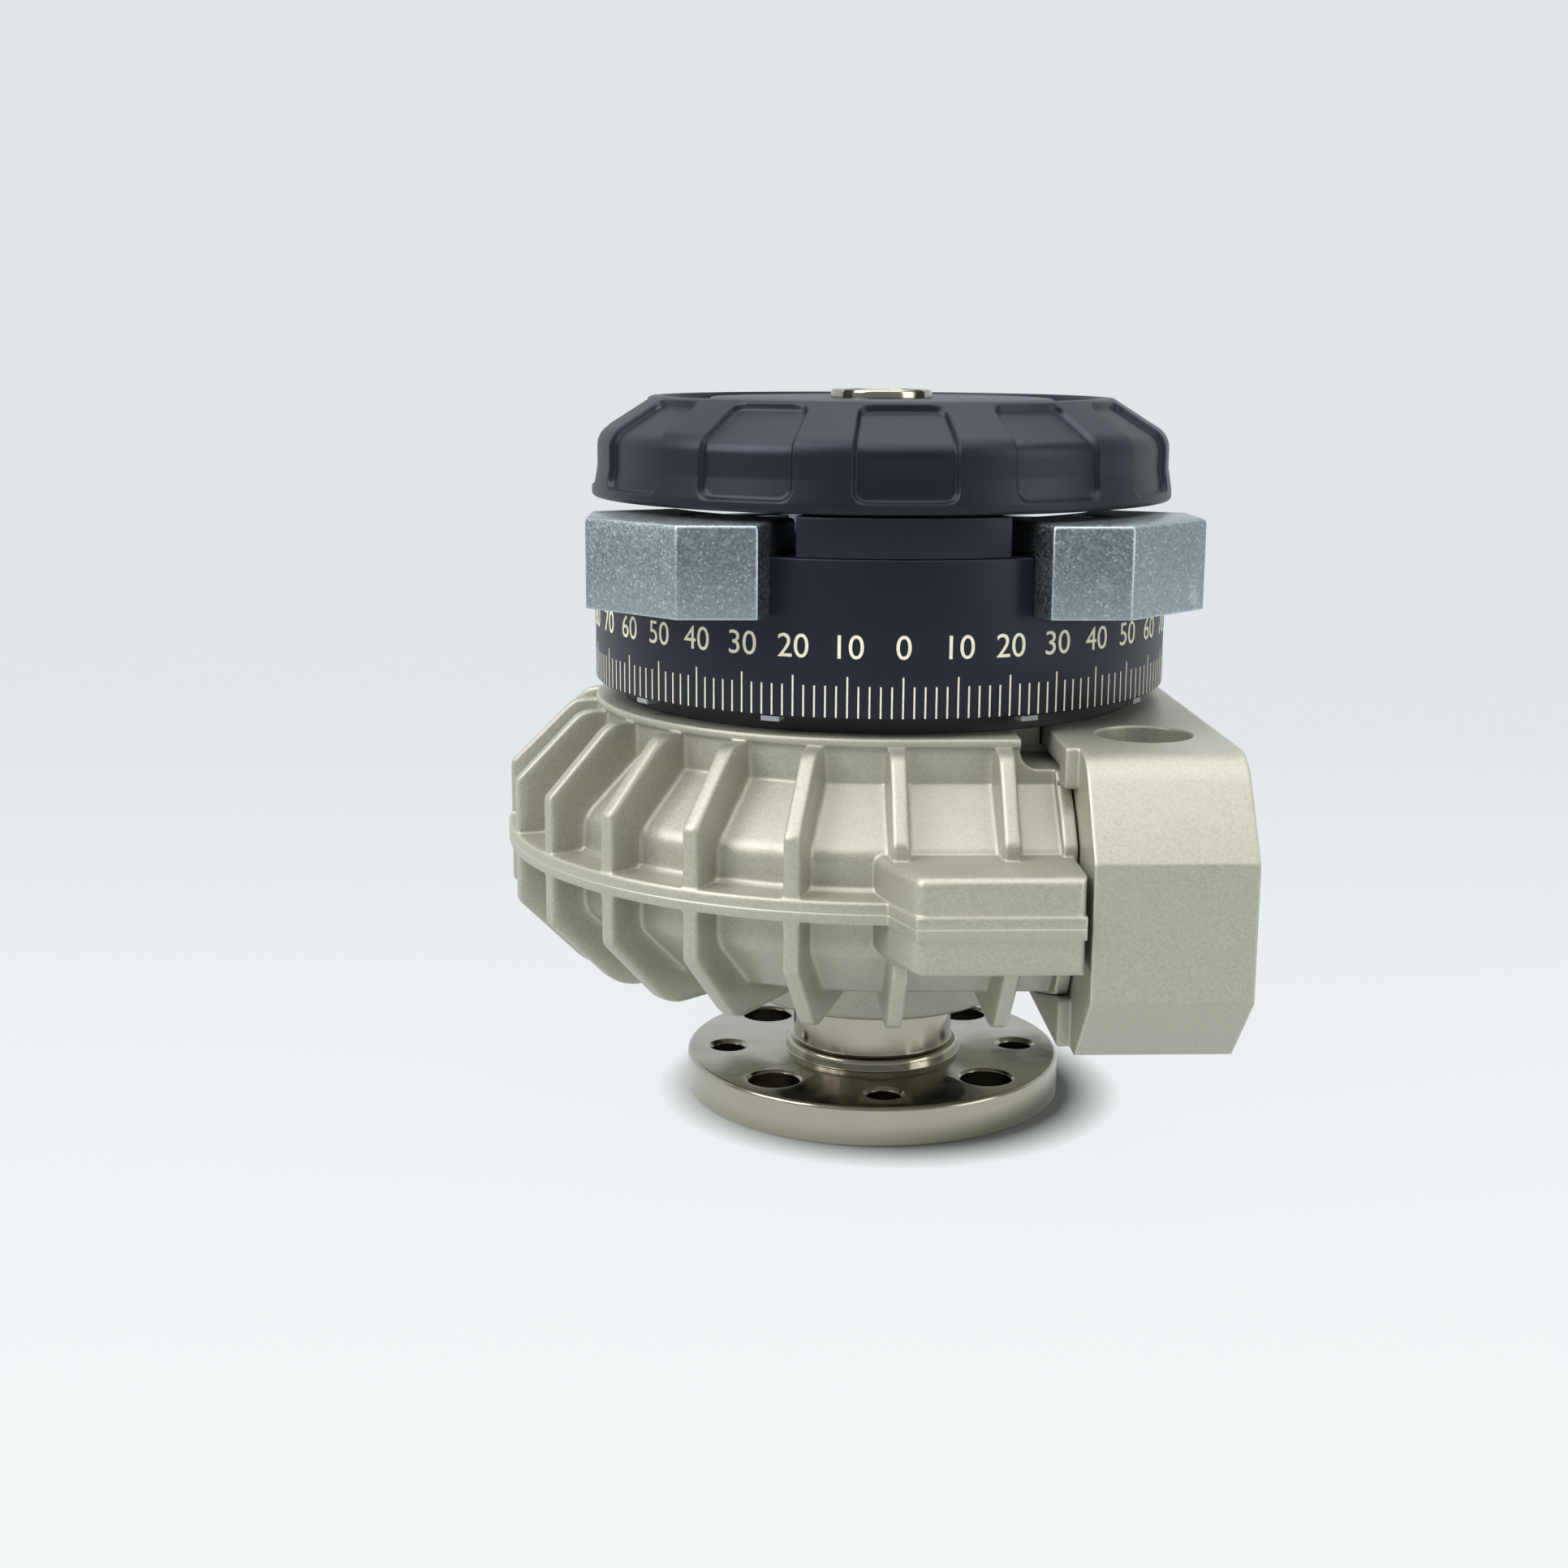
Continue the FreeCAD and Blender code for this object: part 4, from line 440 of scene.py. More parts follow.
@dataclass(frozen=True)
class SurfaceFinish:
    """What all finishes share: tone, gloss, unevenness, soft edges and relief, with sizes in millimetres."""

    name: str
    colour: str
    metallic: float = 0.0
    roughness: float = 0.5
    sheen_colour: str = "#ffffff"
    uneven_size: float = 1.0
    uneven_detail: float = 2.0
    gloss_change: Pair = (-0.05, 0.06)
    gloss_band: Pair = (0.0, 1.0)
    edge_radius: float = 0.3
    edge_samples: int = 4
    relief_strength: float = 0.25
    relief_depth: float = 0.01

    def build(self) -> bpy.types.Material:
        """Make the material."""
        raise NotImplementedError

    def start(self) -> Surface:
        """Make the material with its shader and coordinates."""
        material = bpy.data.materials.new(self.name)
        material.use_nodes = True
        tree = material.node_tree
        tree.nodes.clear()
        settings = {
            "Base Color": linear(self.colour),
            "Metallic": self.metallic,
            "Roughness": self.roughness,
            "Specular Tint": linear(self.sheen_colour),
        }
        shader = add_node(tree, "ShaderNodeBsdfPrincipled", settings)
        add_node(tree, "ShaderNodeOutputMaterial", None, {"Surface": shader.outputs[0]})
        place = add_node(tree, "ShaderNodeTexCoord").outputs["Object"]
        return Surface(material, tree, shader, place)

    def unevenness(self, surface: Surface) -> bpy.types.NodeSocket:
        """Soft change over the surface, at the finish's own size."""
        settings = {
            "Scale": per_metre(self.uneven_size),
            "Detail": self.uneven_detail,
            "Roughness": NOISE_CONTRAST,
        }
        made = add_node(surface.tree, "ShaderNodeTexNoise", settings, {"Vector": surface.place})
        return made.outputs["Fac"]

    def random_cells(self, surface: Surface, size: float) -> bpy.types.NodeSocket:
        """One random value for each small cell of the surface."""
        tree = surface.tree
        cells = add_node(tree, "ShaderNodeTexVoronoi", {"Scale": per_metre(size)}, {"Vector": surface.place})
        return add_node(tree, "ShaderNodeSeparateColor", None, {"Color": cells.outputs["Color"]}).outputs[0]

    def soft_edges(self, surface: Surface) -> bpy.types.NodeSocket:
        """Normal that rounds every edge over the finish's edge radius."""
        settings = {"samples": self.edge_samples, "Radius": self.edge_radius * MM}
        return add_node(surface.tree, "ShaderNodeBevel", settings).outputs[0]

    def vary_gloss(self, surface: Surface, value: bpy.types.NodeSocket) -> None:
        """Let the roughness change with a value."""
        settings = {
            "From Min": self.gloss_band[0],
            "From Max": self.gloss_band[1],
            "To Min": self.roughness + self.gloss_change[0],
            "To Max": self.roughness + self.gloss_change[1],
        }
        gloss = add_node(surface.tree, "ShaderNodeMapRange", settings, {"Value": value})
        surface.tree.links.new(gloss.outputs[0], surface.shader.inputs["Roughness"])

    def complete(
        self,
        surface: Surface,
        height: bpy.types.NodeSocket,
        tone: bpy.types.NodeSocket | None = None,
        normal: bpy.types.NodeSocket | None = None,
    ) -> bpy.types.Material:
        """Link the fine relief and the tone to the shader.

        Args:
            surface: The material that is made.
            height: Height of the fine relief.
            tone: The varied tone, or None for the plain colour.
            normal: The rounded normal under the relief, or None.

        Returns:
            The finished material.
        """
        links = {"Height": height}
        if normal is not None:
            links["Normal"] = normal
        settings = {"Strength": self.relief_strength, "Distance": self.relief_depth * MM}
        relief = add_node(surface.tree, "ShaderNodeBump", settings, links)
        surface.tree.links.new(relief.outputs[0], surface.shader.inputs["Normal"])
        if tone is not None:
            surface.tree.links.new(tone, surface.shader.inputs["Base Color"])
        return surface.material


@dataclass(frozen=True)
class EdgeWornFinish(SurfaceFinish):
    """A finish whose rounded edges and creases alike are painted a paler colour: partly wear, partly painted
    highlight.
    """

    # Pale colour of the edges and creases: partly wear, partly painted highlight.
    worn_colour: str = "#ffffff"
    wear_band: Pair = (0.995, 0.86)
    wear_share: float = 0.75

    def worn_edges(
        self, surface: Surface, tone: bpy.types.NodeSocket, rounded: bpy.types.NodeSocket
    ) -> bpy.types.NodeSocket:
        """Blend in the pale colour, partly wear and partly painted highlight, where a rounded normal leaves
        the true one.
        """
        facing = add_node(surface.tree, "ShaderNodeNewGeometry").outputs["Normal"]
        links = {0: rounded, 1: facing}
        product = add_node(surface.tree, "ShaderNodeVectorMath", {"operation": "DOT_PRODUCT"}, links)
        closeness = product.outputs["Value"]
        # Painted highlight as well as wear: the pale colour lies on every rounded edge and crease.
        return blend(surface.tree, tone, self.worn_colour, closeness, self.wear_band, self.wear_share)


@dataclass(frozen=True)
class SprayedDieCasting(EdgeWornFinish):
    """Die-cast aluminium, sprayed with warm grey metallic paint: satin, finely grained, edges pale with wear
    and painted highlight.

    Real flakes are finer than a tenth of a millimetre. They are drawn coarser, so that they show.
    """

    uneven_size: float = 0.35
    gloss_change: Pair = (-0.04, 0.04)
    edge_radius: float = 0.8
    edge_samples: int = 6
    relief_depth: float = 0.012
    # Pale edge colour: partly wear, partly painted highlight.
    worn_colour: str = "#d2d1c0"
    shade_colour: str = "#a2a092"
    flake: float = 0.3

    def build(self) -> bpy.types.Material:
        """Make the material."""
        surface = self.start()
        sparkle = self.random_cells(surface, self.flake)
        tone = blend(surface.tree, self.shade_colour, self.colour, sparkle)
        rounded = self.soft_edges(surface)
        self.vary_gloss(surface, sparkle)
        # Edges and creases turn pale: partly wear, partly painted highlight.
        wear_and_highlight_tone = self.worn_edges(surface, tone, rounded)
        return self.complete(surface, self.unevenness(surface), wear_and_highlight_tone, rounded)


@dataclass(frozen=True)
class MouldedPlastic(SurfaceFinish):
    """Injection-moulded polyamide with a spark-eroded grain: matte, with a soft sheen on slopes.

    The real grain is about a tenth of a millimetre. It is drawn coarser, so that it shows.
    """

    uneven_size: float = 0.45
    gloss_change: Pair = (-0.05, 0.08)
    edge_radius: float = 0.45
    relief_strength: float = 0.5
    relief_depth: float = 0.03
    light_colour: str = "#0e101b"
    light_band: Pair = (0.4, 0.75)
    light_share: float = 0.35

    def build(self) -> bpy.types.Material:
        """Make the material."""
        surface = self.start()
        pores = self.unevenness(surface)
        tone = blend(surface.tree, self.colour, self.light_colour, pores, self.light_band, self.light_share)
        self.vary_gloss(surface, pores)
        return self.complete(surface, pores, tone, self.soft_edges(surface))


@dataclass(frozen=True)
class DyedAnodising(SurfaceFinish):
    """Turned aluminium, dyed and anodised: dark and even, with faint turning lines and a silky gloss.

    The real lines lie closer together. They are drawn wider apart, so that they show.
    """

    uneven_size: float = 14.0
    uneven_detail: float = 3.0
    relief_strength: float = 0.3
    relief_depth: float = 0.004
    line_spacing: float = 0.35
    line_waver: float = 0.6

    def build(self) -> bpy.types.Material:
        """Make the material."""
        surface = self.start()
        settings = {
            "wave_type": "BANDS",
            "bands_direction": "Z",
            "Scale": per_metre(self.line_spacing) / WAVE_PACE,
            "Distortion": self.line_waver,
            "Detail": 2.0,
        }
        lines = add_node(surface.tree, "ShaderNodeTexWave", settings, {"Vector": surface.place})
        self.vary_gloss(surface, self.unevenness(surface))
        return self.complete(surface, lines.outputs["Fac"], None, self.soft_edges(surface))


@dataclass(frozen=True)
class ZincPlating(EdgeWornFinish):
    """Sawn and milled steel, electroplated with zinc: blue-grey crystals, pale scuffs, edges pale with wear
    and painted highlight.

    Real crystals are far finer. They are drawn coarser, so that they show.
    """

    uneven_size: float = 0.32
    uneven_detail: float = 6.0
    gloss_change: Pair = (-0.05, 0.07)
    gloss_band: Pair = (0.0, 0.5)
    edge_radius: float = 0.6
    edge_samples: int = 6
    relief_depth: float = 0.008
    # Pale colour of scuffs and specks, and of the edges, where it is partly wear, partly painted highlight.
    worn_colour: str = "#dfe6e7"
    wear_band: Pair = (0.99, 0.85)
    wear_share: float = 0.8
    dark_colour: str = "#909da3"
    dark_band: Pair = (0.05, 0.5)
    crystal: float = 0.32
    speck_band: Pair = (0.92, 0.99)
    speck_share: float = 0.5
    scuff: float = 3.5
    scuff_detail: float = 5.0
    scuff_band: Pair = (0.6, 0.72)
    scuff_share: float = 0.3

    def build(self) -> bpy.types.Material:
        """Make the material."""
        surface = self.start()
        tree = surface.tree
        facet = self.random_cells(surface, self.crystal)
        links = {0: facet, 1: self.unevenness(surface)}
        crystals = add_node(tree, "ShaderNodeMath", {"operation": "MULTIPLY"}, links).outputs[0]
        tone = blend(tree, self.dark_colour, self.colour, crystals, self.dark_band)
        settings = {"Scale": per_metre(self.scuff), "Detail": self.scuff_detail, "Roughness": NOISE_CONTRAST}
        scuffs = add_node(tree, "ShaderNodeTexNoise", settings, {"Vector": surface.place}).outputs["Fac"]
        tone = blend(tree, tone, self.worn_colour, scuffs, self.scuff_band, self.scuff_share)
        tone = blend(tree, tone, self.worn_colour, facet, self.speck_band, self.speck_share)
        rounded = self.soft_edges(surface)
        self.vary_gloss(surface, crystals)
        # Edges and creases turn pale: partly wear, partly painted highlight.
        return self.complete(surface, crystals, self.worn_edges(surface, tone, rounded), rounded)


@dataclass(frozen=True)
class NickelPlating(SurfaceFinish):
    """Turned steel, polished and nickel plated: mirror-like and slightly warm, with fine turning rings.

    The real rings lie closer together. They are drawn wider apart, so that they show.
    """

    uneven_size: float = 6.0
    uneven_detail: float = 4.0
    gloss_change: Pair = (-0.05, 0.1)
    gloss_band: Pair = (0.3, 0.7)
    edge_radius: float = 0.25
    relief_strength: float = 0.12
    relief_depth: float = 0.002
    ring_spacing: float = 0.25

    def build(self) -> bpy.types.Material:
        """Make the material."""
        surface = self.start()
        tree, place = surface.tree, surface.place
        level = {"operation": "MULTIPLY", 1: (1.0, 1.0, 0.0)}
        flat = add_node(tree, "ShaderNodeVectorMath", level, {0: place}).outputs[0]
        reach = add_node(tree, "ShaderNodeVectorMath", {"operation": "LENGTH"}, {0: flat}).outputs["Value"]
        height = add_node(tree, "ShaderNodeSeparateXYZ", None, {0: place}).outputs[2]
        both = add_node(tree, "ShaderNodeMath", {"operation": "ADD"}, {0: reach, 1: height}).outputs[0]
        pace = {"operation": "MULTIPLY", 1: 2.0 * math.pi * per_metre(self.ring_spacing)}
        turns = add_node(tree, "ShaderNodeMath", pace, {0: both}).outputs[0]
        rings = add_node(tree, "ShaderNodeMath", {"operation": "SINE"}, {0: turns}).outputs[0]
        self.vary_gloss(surface, self.unevenness(surface))
        return self.complete(surface, rings, None, self.soft_edges(surface))


@dataclass(frozen=True)
class PlainWithGrain(SurfaceFinish):
    """A small or hidden piece's finish: one tone with a fine variation and grain of its own size."""

    uneven_detail: float = 4.0
    gloss_change: Pair = (-0.06, 0.08)
    relief_strength: float = 0.4
    second_colour: str = "#606060"
    second_band: Pair = (0.3, 0.7)

    def build(self) -> bpy.types.Material:
        """Make the material."""
        surface = self.start()
        grains = self.unevenness(surface)
        tone = blend(surface.tree, self.colour, self.second_colour, grains, self.second_band)
        self.vary_gloss(surface, grains)
        return self.complete(surface, grains, tone)


@dataclass(frozen=True)
class Finishes:
    """All materials of the drive, each made once."""

    paint: bpy.types.Material
    plastic: bpy.types.Material
    anodised: bpy.types.Material
    black: bpy.types.Material
    zinc: bpy.types.Material
    nickel: bpy.types.Material
    ink: bpy.types.Material
    rubber: bpy.types.Material
    screw: bpy.types.Material
    hard_steel: bpy.types.Material
    aluminium: bpy.types.Material
    brass: bpy.types.Material
    pad: bpy.types.Material


def grained(
    name: str, colours: tuple[str, str], metallic: float, roughness: float, sizes: Pair
) -> PlainWithGrain:
    """Finish of a small piece.

    Args:
        name: Material and process.
        colours: The two tones that it varies between.
        metallic: One for a bare metal.
        roughness: Its mean roughness.
        sizes: Size and depth of its grain in millimetres.

    Returns:
        The finish.
    """
    return PlainWithGrain(
        name,
        colours[0],
        metallic,
        roughness,
        uneven_size=sizes[0],
        relief_depth=sizes[1],
        second_colour=colours[1],
    )


def make_finishes() -> Finishes:
    """Make every material of the drive."""
    return Finishes(
        paint=SprayedDieCasting("sprayed_die_casting", "#b0aea0", 0.5, 0.43).build(),
        plastic=MouldedPlastic("moulded_polyamide", "#07080f", 0.0, 0.4, "#d6dcf4").build(),
        anodised=DyedAnodising("dyed_anodised_aluminium", "#090b13", 0.0, 0.42, "#d2dcf6").build(),
        black=DyedAnodising("black_anodised_aluminium", "#050506", 0.0, 0.5).build(),
        zinc=ZincPlating("zinc_plated_steel", "#a6b2b6", 1.0, 0.34).build(),
        nickel=NickelPlating("nickel_plated_steel", "#aca798", 1.0, 0.15).build(),
        # Printed ink: opaque cream lines, hardly raised.
        ink=grained("cream_pad_print", ("#ece6cf", "#dcd5bb"), 0.0, 0.55, (0.6, 0.004)).build(),
        # Moulded rubber: near black and dull.
        rubber=grained("moulded_nitrile_rubber", ("#17171a", "#202023"), 0.0, 0.7, (0.8, 0.02)).build(),
        # Zinc plated screw steel: pale grey with a soft shine.
        screw=grained("zinc_plated_screw", ("#a9b0b3", "#8a9194"), 1.0, 0.38, (0.7, 0.01)).build(),
        # Ground bearing steel: bright and nearly mirror-like.
        hard_steel=grained("ground_bearing_steel", ("#b9bbbd", "#a6a8aa"), 1.0, 0.2, (0.5, 0.003)).build(),
        # Turned aluminium: light grey with a satin shine.
        aluminium=grained("turned_aluminium", ("#c3c4c5", "#adaeb0"), 1.0, 0.32, (0.6, 0.006)).build(),
        # Pressed brass: warm yellow with a soft shine.
        brass=grained("pressed_brass", ("#b89a54", "#a4884a"), 1.0, 0.3, (0.8, 0.006)).build(),
        # Moulded acetal: mid grey, waxy and smooth.
        pad=grained("moulded_acetal", ("#92979a", "#83888b"), 0.0, 0.5, (0.8, 0.01)).build(),
    )


@dataclass
class Assembly:
    """A group of pieces of the drive, with the frame and the finishes they use."""

    finishes: Finishes

    def dress(
        self,
        piece: bpy.types.Object,
        material: bpy.types.Material,
        body: str,
        slot: str | None,
        nodes: Sequence[str] = (),
    ) -> bpy.types.Object:
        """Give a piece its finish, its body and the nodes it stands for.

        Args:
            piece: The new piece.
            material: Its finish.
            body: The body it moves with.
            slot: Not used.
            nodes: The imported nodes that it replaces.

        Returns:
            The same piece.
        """
        piece.data.materials.clear()
        piece.data.materials.append(material)
        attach(piece, body)
        if nodes:
            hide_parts(*nodes)
        LOG.info("%s: %d faces on %s", piece.name, len(piece.data.polygons), body)
        return piece


@dataclass(frozen=True)
class Station:
    """Place of a column of points on the housing's path in its front half, with the rib's share of the form.

    The place is a share of the way between two spots, each an angle with a distance along the path.
    """

    first: Pair
    second: Pair
    way: float
    share: float
    rib: Rib

    def along(self, radius: float) -> float:
        """Distance along the path from where it turns straight, at a radius."""
        low = radius * math.radians(self.first[0]) + self.first[1]
        high = radius * math.radians(self.second[0]) + self.second[1]
        return low + (high - low) * self.way


@dataclass
class HousingHalf(Assembly):
    """One ribbed half of the die-cast housing: round on one side, straight towards the port block."""

    side: Side = Side.UPPER
    parting: float = 49.4
    path_radius: float = 34.5
    chamber_radius: float = 18.5
    skin_side: float = 59.3
    skin_round: float = 4.0
    upper_corner: float = 7.6
    lower_corner: float = 8.0
    wall_radius: float = 49.3
    fold_height: float = 16.7
    floor_outer_drop: float = 17.2
    floor_drop: float = 21.3
    flange_radius: float = 65.8
    flange_half: float = 1.8
    flange_round: float = 0.45
    fillet: float = 1.5
    lip_radius: float = 50.0
    lip_height: float = 1.4
    height: float = 24.0
    depth: float = 30.5
    neck_foot: float = 23.1
    joint_plane: float = 26.2
    lip_end: float = 18.6
    lip_end_drop: float = 4.9
    notch_inner: float = 33.5
    lug_end: float = 25.6
    tab_left: float = 24.5
    tab_depth: float = 3.4
    leg_depth: float = 6.5
    leg_width: float = 5.3
    tab_half: float = 57.3
    tab_gap: float = 0.3
    rib_radius: float = 65.4
    rib_pitch: float = 14.83
    rib_count: int = 6
    first_rib: float = -90.0
    bay_columns: int = 6
    straight_rib: float = 15.95
    upper_knee: float = 11.2
    knee_round: float = 1.0
    upper_shoulder: Pair = (54.0, 4.25)
    lug_rib_radius: float = 63.2
    lug_knee: float = 9.9
    lug_shoulder: Pair = (53.5, 4.25)
    lower_knee: float = 10.1
    lower_shoulder: Pair = (52.7, 8.8)
    rib_floor_drop: float = 22.9
    rib_inner: float = 22.6
    straight_rib_inner: float = 15.5
    lug_front: float = 74.0
    lug_half_height: float = 7.6
    lug_left: float = 0.4
    lug_slant: float = -3.1
    lug_round: float = 1.6
    lug_proud: float = 0.28
    hub_radius: float = 18.1
    hub_half_height: float = 11.3
    web_bore: float = 13.4
    seat_radius: float = 18.5
    seat_depth: float = 13.1
    upper_seat_radius: float = 16.0
    upper_seat_depth: float = 10.2
    end_thickness: float = 2.1
    upper_split: float = 0.72
    lower_split: float = 0.62
    upper_rows: tuple[int, int, int] = (9, 30, 14)
    lower_rows: tuple[int, int, int, int] = (9, 28, 34, 4)

    def sign(self) -> int:
        """One above the parting plane, minus one below."""
        return self.side.value

    def level(self, distance: float) -> float:
        """Height of a point by its distance from the parting plane."""
        return self.parting + self.sign() * distance

    def lip_low(self) -> float:
        """Distance of the lip's lower edge from the parting plane."""
        return self.height - self.lip_height

    def foot(self) -> list[Pair]:
        """The parting flange's ledge with its round corner into the skin's side, by radius and distance."""
        end = self.flange_half + self.fillet
        corners = [
            (self.flange_radius - self.flange_round, self.flange_half, 0.0),
            (self.skin_side, self.flange_half, self.fillet * 0.95),
            (self.skin_side, end, 0.0),
        ]
        return rounded_outline(corners, 5, closed=False)

    def skin_slope(self, corner: float, end: float) -> list[Pair]:
        """The plain skin from its side round a corner to the wall's foot or the floor's rim."""
        low = self.flange_half + self.fillet
        bend = [
            (self.skin_side, low, 0.0),
            (self.skin_side, corner, self.skin_round),
            (self.wall_radius, end, 0.0),
        ]
        return rounded_outline(bend, 8, closed=False)

    def upper_runs(self) -> list[tuple[int, list[Pair], dict[Rib, list[Pair]]]]:
        """Matched runs of the upper half: number of rows, plain skin and each kind of rib's edge."""
        start = self.flange_half
        low = start + self.fillet
        lip = self.lip_low()
        split = self.upper_split
        kinds = {
            Rib.RADIAL: (self.rib_radius, self.upper_knee, self.upper_shoulder),
            Rib.BESIDE_LUG: (self.lug_rib_radius, self.lug_knee, self.lug_shoulder),
            Rib.STRAIGHT: (self.lug_rib_radius, self.lug_knee, self.lug_shoulder),
        }
        feet: dict[Rib, list[Pair]] = {}
        slopes: dict[Rib, list[Pair]] = {}
        tops: dict[Rib, list[Pair]] = {}
        for kind, (outer, knee, (shoulder, rounding)) in kinds.items():
            turn = (outer + (shoulder - outer) * split, knee + (lip - knee) * split)
            feet[kind] = [(outer, start), (outer, low)]
            bend = [(outer, low, 0.0), (outer, knee, self.knee_round), (*turn, 0.0)]
            slopes[kind] = rounded_outline(bend, 4, closed=False)
            corner = [(*turn, 0.0), (shoulder, lip, rounding), (self.lip_radius, lip, 0.0)]
            tops[kind] = rounded_outline(corner, 8, closed=False)
        wall = [(self.wall_radius, self.fold_height), (self.wall_radius, lip)]
        slope = self.skin_slope(self.upper_corner, self.fold_height)
        plain_runs = (self.foot(), slope, wall)
        return list(zip(self.upper_rows, plain_runs, (feet, slopes, tops)))

    def lower_runs(self) -> list[tuple[int, list[Pair], dict[Rib, list[Pair]]]]:
        """Matched runs of the lower half: number of rows, plain skin and each kind of rib's edge."""
        start = self.flange_half
        low = start + self.fillet
        outer, knee = self.rib_radius, self.lower_knee
        shoulder, rounding = self.lower_shoulder
        drop = self.rib_floor_drop
        split = self.lower_split
        turn = (outer + (shoulder - outer) * split, knee + (drop - knee) * split)
        bend = [(outer, low, 0.0), (outer, knee, self.knee_round), (*turn, 0.0)]
        slope_edge = rounded_outline(bend, 4, closed=False)
        corner = [(*turn, 0.0), (shoulder, drop, rounding), (self.rib_inner, drop, 0.0)]
        floor_edge = rounded_outline(corner, 10, closed=False)
        floor = [
            (self.wall_radius, self.floor_outer_drop),
            (self.path_radius, self.floor_drop),
            (self.rib_inner, self.floor_drop),
        ]
        past_rib = self.rib_inner - 0.2
        inner = [(past_rib, self.floor_drop), (self.straight_rib_inner, self.floor_drop)]
        inner_edge = [(past_rib, drop), (self.straight_rib_inner, drop)]
        slope = self.skin_slope(self.lower_corner, self.floor_outer_drop)
        plain_runs = (self.foot(), slope, floor, inner)
        edges = (
            {kind: [(outer, start), (outer, low)] for kind in Rib},
            {kind: slope_edge for kind in Rib},
            {kind: floor_edge for kind in Rib},
            {Rib.RADIAL: inner, Rib.BESIDE_LUG: inner, Rib.STRAIGHT: inner_edge},
        )
        return list(zip(self.lower_rows, plain_runs, edges))

    def rows(self) -> list[tuple[Pair, dict[Rib, Pair]]]:
        """Matching points of the skin and of each kind of rib's edge, from the parting flange inwards."""
        runs = self.upper_runs() if self.side is Side.UPPER else self.lower_runs()
        made: list[tuple[Pair, dict[Rib, Pair]]] = []
        last: Pair | None = None
        for count, plain, edges in runs:
            skin = resampled(plain, count)
            sampled = {kind: resampled(edge, count) for kind, edge in edges.items()}
            for index, point in enumerate(skin):
                if index == 0 and last is not None and math.dist(point, last) < NEAR:
                    continue
                made.append((point, {kind: edge[index] for kind, edge in sampled.items()}))
            last = skin[-1]
        return made

    def stations(self) -> list[Station]:
        """Columns of the front half, from the middle of the round side to the joint plane."""
        foot = RIB_SECTION[-1][0]
        centres: list[tuple[float, float, Rib]] = []
        for index in range(self.rib_count + 1):
            kind = Rib.BESIDE_LUG if index == self.rib_count else Rib.RADIAL
            centres.append((self.rib_pitch * index + self.first_rib, 0.0, kind))
        centres.append((0.0, self.straight_rib, Rib.STRAIGHT))
        made: list[Station] = []
        for index, (angle, along, kind) in enumerate(centres):
            if index > 0:
                for offset, share in reversed(RIB_SECTION[1:]):
                    spot = (angle, along - offset)
                    made.append(Station(spot, spot, 0.0, share, kind))
            for offset, share in RIB_SECTION:
                spot = (angle, along + offset)
                made.append(Station(spot, spot, 0.0, share, kind))
            begin = (angle, along + foot)
            if index + 1 < len(centres):
                following = centres[index + 1]
                end = (following[0], following[1] - foot)
            else:
                end = (0.0, self.joint_plane)
            for step in range(1, self.bay_columns):
                made.append(Station(begin, end, step / self.bay_columns, 0.0, kind))
        made.append(Station((0.0, self.joint_plane), (0.0, self.joint_plane), 0.0, 0.0, Rib.STRAIGHT))
        return made

    def spot(self, station: Station, radius: float, level: float) -> Vector:
        """Point of the front half on a station at a radius."""
        along = station.along(radius)
        if along > 0.0:
            return Vector((along, -radius, level))
        return polar(radius, math.degrees(along / radius), level)

    def skin(self) -> bmesh.types.BMesh:
        """Closed outer form of the half, with its ribs drawn out of the skin."""
        rim, edge = self.flange_radius, self.flange_half
        cut = self.flange_round
        start = [(rim, 0.0), (rim, edge - cut), (rim - cut * 0.3, edge - cut * 0.3)]
        if self.side is Side.UPPER:
            lip, top = self.lip_low(), self.height
            finish = [
                (self.lip_radius - 0.12, lip),
                (self.lip_radius, lip + 0.25),
                (self.lip_radius, top - 0.35),
                (self.lip_radius - 0.1, top - 0.1),
                (self.lip_radius - 0.35, top),
                (self.web_bore - 1.0, top),
            ]
        else:
            finish = [(self.straight_rib_inner - 0.1, self.floor_drop)]
        plain_rows = [(point, {}) for point in start] + self.rows() + [(point, {}) for point in finish]
        layout = self.stations()
        rows: list[list[Vector]] = []
        for plain, edges in plain_rows:
            front: list[Vector] = []
            for station in layout:
                outer = edges.get(station.rib, plain)
                radius = plain[0] + (outer[0] - plain[0]) * station.share
                distance = plain[1] + (outer[1] - plain[1]) * station.share
                front.append(self.spot(station, radius, self.level(distance)))
            back = [Vector((point.x, -point.y, point.z)) for point in reversed(front[1:])]
            rows.append(back + front)
        mesh = grid_mesh(rows, False, False)
        points = list(mesh.verts)
        width = len(rows[0])
        mesh.faces.new(points[:width])
        mesh.faces.new(points[-width:])
        near = [points[row * width] for row in range(len(rows))]
        far = [points[row * width + width - 1] for row in range(len(rows))]
        mesh.faces.new(near + list(reversed(far)))
        return mesh

    def lug(self, mirror: float) -> bmesh.types.BMesh:
        """One lug with rounded edges. The mirror is one at the front and minus one at the back."""
        back = self.skin_side - 4.0
        level = self.level(self.lug_half_height)
        plan = [
            (self.lug_slant - 3.0, -back),
            (self.lug_slant, -self.flange_radius + 0.5),
            (self.lug_left, -self.lug_front),
            (self.lug_end, -self.lug_front),
            (self.lug_end, -back),
        ]
        low, high = sorted((self.parting, level))
        mesh = plan_slab([(x, y * mirror) for x, y in plan], low, high)
        front = -self.lug_front * mirror

